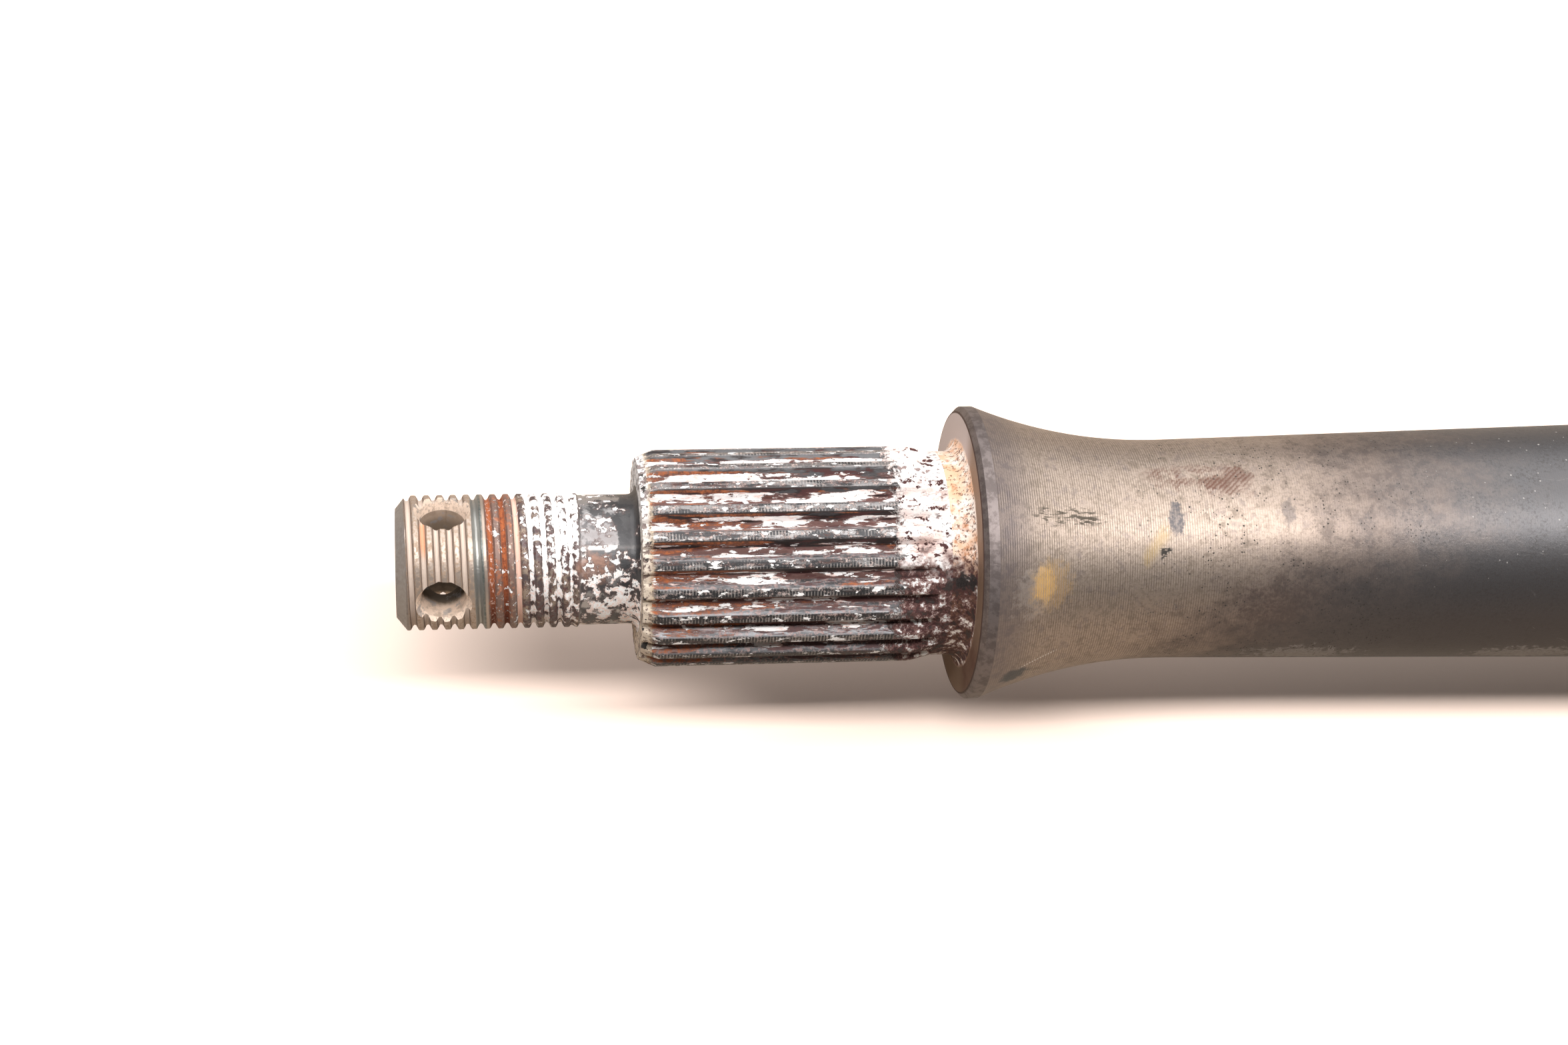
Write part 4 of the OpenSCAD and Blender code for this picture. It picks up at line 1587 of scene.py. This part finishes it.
class BoreFinish(SteelFinish):
    """Walls of the cotter holes: drilled steel with brown stains, painted shade deep inside, and pale sunk
    mouths.
    """

    name = "cotter_hole_steel"
    base: Coat = Coat(tone(222, 198, 178), 0.55, 0.2)
    # Painted shade for the insides of the holes.
    deep_shade: Coat = Coat(tone(74, 63, 49), 0.65, 0.1)
    brown: Coat = Coat(tone(140, 122, 106), 0.6, 0.2)
    pale: Coat = Coat(tone(238, 214, 194), 0.65)
    smear: Coat = Coat(tone(142, 142, 144), 0.45, 0.4)

    def lay_coats(self) -> None:
        """Lays the coats by the height along the hole: pale in the sunk mouth and darker inside, as painted
        shade.
        """
        g = self.graph
        turns = [g.math("RADIANS", self.around - turn) for turn in CotterHoles.turns]
        ends = [self.radius * g.math("COSINE", turn) for turn in turns]
        heights = [abs(end) for end in ends]
        height = heights[0].most(heights[1])
        cloud = self.noise(0.8, 5.0, 0.6)
        grain = self.noise(2.4, 5.0, 0.7)
        self.lay(cloud.step(0.46, 0.62) * 0.5, self.brown)
        # Painted shade: darker deeper in the holes.
        self.lay((cloud * 1.6 + height).fall(4.4, 5.8) * 0.95, self.deep_shade)
        upper = heights[1].below(heights[0])
        self.lay(upper * 0.75, self.brown)
        level = g.blend(upper, 6.58, 5.5)
        mouth = height.step(level, level + 0.14)
        self.lay(mouth, self.pale)
        self.lay(mouth * grain.step(0.48, 0.62) * 0.5, self.brown)
        self.lay(self.noise(0.6, 4.0, 0.6).step(0.55, 0.64) * 0.6, self.smear)
        # Painted shade on the far wall of the upper hole's lower half, seen through the lower hole.
        self.lay(upper * ends[0].below(0.0) * heights[0].fall(6.2, 6.8) * 0.92, self.deep_shade)
        self.raise_by(grain, 0.03)


class Axle:
    """Whole axle: its parts laid as one skin, its holes cut and its finishes put on."""

    def __init__(self, effects: Effects) -> None:
        """Keeps the parts in order and makes their finishes."""
        self.hub_end = (NutEnd(), HubSpline(), HubFlange(), Shank())
        self.far_end = (NutEnd(rows=8, columns=96), HubSpline(), HubFlange(), Shank())
        self.middle = Middle()
        self.holes = CotterHoles()
        finishes = (NutEndFinish, SplineFinish, FlangeFinish, ShankFinish, MiddleFinish, BoreFinish)
        self.materials = [finish(effects).finished() for finish in finishes]

    def build(self) -> bpy.types.Object:
        """Lays the skin from the left end to the right one, cuts the holes and shades the edges.

        Returns:
            The finished axle.
        """
        skin = Skin()
        for part in self.hub_end:
            for band in part.bands(Side.LEFT, Strip.LEFT_END):
                skin.lay(band)
        for band in self.middle.bands():
            skin.lay(band)
        far = [band for part in self.far_end for band in part.bands(Side.RIGHT, Strip.RIGHT_END)]
        for band in reversed(far):
            skin.lay(band.turned_round())
        axle = bpy.data.objects.new("rear_axle", skin.mesh("rear_axle"))
        bpy.context.scene.collection.objects.link(axle)
        for material in self.materials:
            axle.data.materials.append(material)
        self.holes.cut(axle)
        axle.data.name = "rear_axle"
        axle.data.shade_smooth()
        axle.data.set_sharp_from_angle(angle=math.radians(40.0))
        return axle


def swung(first: Vector, second: Vector, angle: float) -> tuple[Vector, Vector]:
    """Two directions at right angles, turned so that the first swings towards the second."""
    c, s = math.cos(angle), math.sin(angle)
    return first * c + second * s, second * c - first * s


@dataclass(frozen=True)
class PhotoCamera:
    """Camera at the photograph's viewing angle, in pixels of the photograph and mm from the axle."""

    width: int = 2352
    focal: float = 4236.0
    sensor: float = 36.0
    foot: float = 4.2
    distance: float = 325.0
    elevation: float = 62.0
    yaw: float = 7.1
    drop: float = 49.8
    roll: float = 1.112

    def build(self) -> bpy.types.Object:
        """Sets the camera over its foot on the axle, turned towards the shank, tipped and rolled.

        Returns:
            The camera, which is also the scene's camera.
        """
        high, yaw, roll = (math.radians(a) for a in (self.elevation, self.yaw, self.roll))
        tip = math.atan(self.drop / self.focal)
        right = Vector((1.0, 0.0, 0.0))
        ahead = Vector((0.0, math.cos(high), -math.sin(high)))
        up = right.cross(ahead)
        foot = Vector((float(Side.LEFT.along(self.foot)), 0.0, 0.0))
        place = (foot - ahead * self.distance) * MM
        ahead, right = swung(ahead, right, yaw)
        ahead, up = swung(ahead, up, tip)
        up, right = swung(up, right, roll)
        data = bpy.data.cameras.new("photo_camera")
        data.sensor_width = self.sensor
        data.lens = self.focal / self.width * self.sensor
        data.clip_start = 0.01
        camera = bpy.data.objects.new("photo_camera", data)
        turned = Matrix((right, up, -ahead)).transposed().to_4x4()
        turned.translation = place
        camera.matrix_world = turned
        bpy.context.scene.collection.objects.link(camera)
        bpy.context.scene.camera = camera
        return camera


@dataclass(frozen=True)
class Lamp:
    """One soft studio lamp: a rectangle of light over the axle."""

    name: str
    place: tuple[float, float, float]
    aim: tuple[float, float, float]
    size: Span
    power: float
    floor_only: bool = False

    def build(self, floor: bpy.types.Object) -> None:
        """Hangs the lamp, points it at its aim and keeps a lamp for the floor off everything else.

        Args:
            floor: The floor, which a lamp for the floor alone lights.
        """
        data = bpy.data.lights.new(self.name, "AREA")
        data.shape = "RECTANGLE"
        data.size, data.size_y = self.size
        data.energy = self.power
        lamp = bpy.data.objects.new(self.name, data)
        lamp.location = self.place
        lamp.rotation_euler = (Vector(self.aim) - Vector(self.place)).to_track_quat("-Z", "Y").to_euler()
        bpy.context.scene.collection.objects.link(lamp)
        if self.floor_only:
            lit = bpy.data.collections.new(self.name)
            lit.objects.link(floor)
            lamp.light_linking.receiver_collection = lit


@dataclass(frozen=True)
class Studio:
    """Plain pale floor and soft light."""

    floor_z: float = -0.0262
    floor_size: float = 12.0
    floor_tone: Colour = (0.7, 0.56, 0.48, 1.0)
    pale_from: float = 0.45
    pale_to: float = 1.3
    floor_bounce: Colour = (0.235, 0.19, 0.15, 1.0)
    sky: Colour = (0.96, 0.97, 1.0, 1.0)
    sky_strength: float = 0.075
    lamps: tuple[Lamp, ...] = (
        Lamp("overhead_soft_light", (-0.3, -0.18, 1.0), (-0.3, 0.0, 0.0), (2.2, 0.15), 16.5),
        Lamp("floor_soft_light", (-0.3, -0.18, 1.0), (-0.3, 0.0, 0.0), (2.2, 0.15), 20.0, floor_only=True),
        Lamp("top_soft_light", (-0.3, 0.1, 1.0), (-0.3, 0.0, 0.0), (2.2, 0.3), 5.0),
        Lamp("back_soft_light", (-0.3, 0.9, 0.98), (-0.3, 0.0, 0.0), (2.6, 1.1), 20.0),
    )

    def floor_material(self) -> bpy.types.Material:
        """Makes the floor's material: pale to the camera, and duller where the axle mirrors it."""
        material = bpy.data.materials.new("pale_floor")
        material.use_nodes = True
        material.node_tree.nodes.clear()
        g = Graph(material.node_tree)
        place = g.node("ShaderNodeTexCoord", {}, "Object")
        far = g.node("ShaderNodeVectorMath", {0: place}, "Value", operation="LENGTH")
        pale = far.scaled(self.pale_from, self.pale_to, 0.0, 1.0)
        seen = g.node("ShaderNodeBsdfDiffuse", {"Color": self.floor_tone})
        glow = g.node("ShaderNodeEmission", {"Strength": pale})
        lit = g.node("ShaderNodeAddShader", {0: seen, 1: glow})
        bounce = g.node("ShaderNodeBsdfDiffuse", {"Color": self.floor_bounce})
        camera_ray = g.node("ShaderNodeLightPath", {}, "Is Camera Ray")
        pick = g.node("ShaderNodeMixShader", {0: camera_ray, 1: bounce, 2: lit})
        g.feed(g.add("ShaderNodeOutputMaterial"), {"Surface": pick})
        return material

    def build(self) -> bpy.types.Object:
        """Lays the floor, hangs the lamps and sets the sky and the view.

        Returns:
            The floor.
        """
        half = self.floor_size / 2.0
        corners = np.array([(-half, -half), (half, -half), (half, half), (-half, half)])
        points = np.column_stack([corners, np.full(4, self.floor_z)])
        made = bpy.data.meshes.new("floor")
        made.from_pydata(points.tolist(), [], [(0, 1, 2, 3)])
        made.materials.append(self.floor_material())
        floor = bpy.data.objects.new("floor", made)
        bpy.context.scene.collection.objects.link(floor)
        for lamp in self.lamps:
            lamp.build(floor)
        world = bpy.data.worlds.new("studio")
        world.use_nodes = True
        background = world.node_tree.nodes["Background"]
        background.inputs["Color"].default_value = self.sky
        background.inputs["Strength"].default_value = self.sky_strength
        bpy.context.scene.world = world
        bpy.context.scene.view_settings.view_transform = "Standard"
        return floor


def main() -> None:
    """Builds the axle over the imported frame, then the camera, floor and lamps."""
    logging.basicConfig(level=logging.INFO, format="%(name)s: %(message)s")
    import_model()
    axle = Axle(Effects()).build()
    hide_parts("axle")
    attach(axle, "root")
    LOG.info("%s: %d points, %d faces", axle.name, len(axle.data.vertices), len(axle.data.polygons))
    camera = PhotoCamera().build()
    floor = Studio().build()
    LOG.info("%s and %s are in place", camera.name, floor.name)


if __name__ == "__main__":
    main()
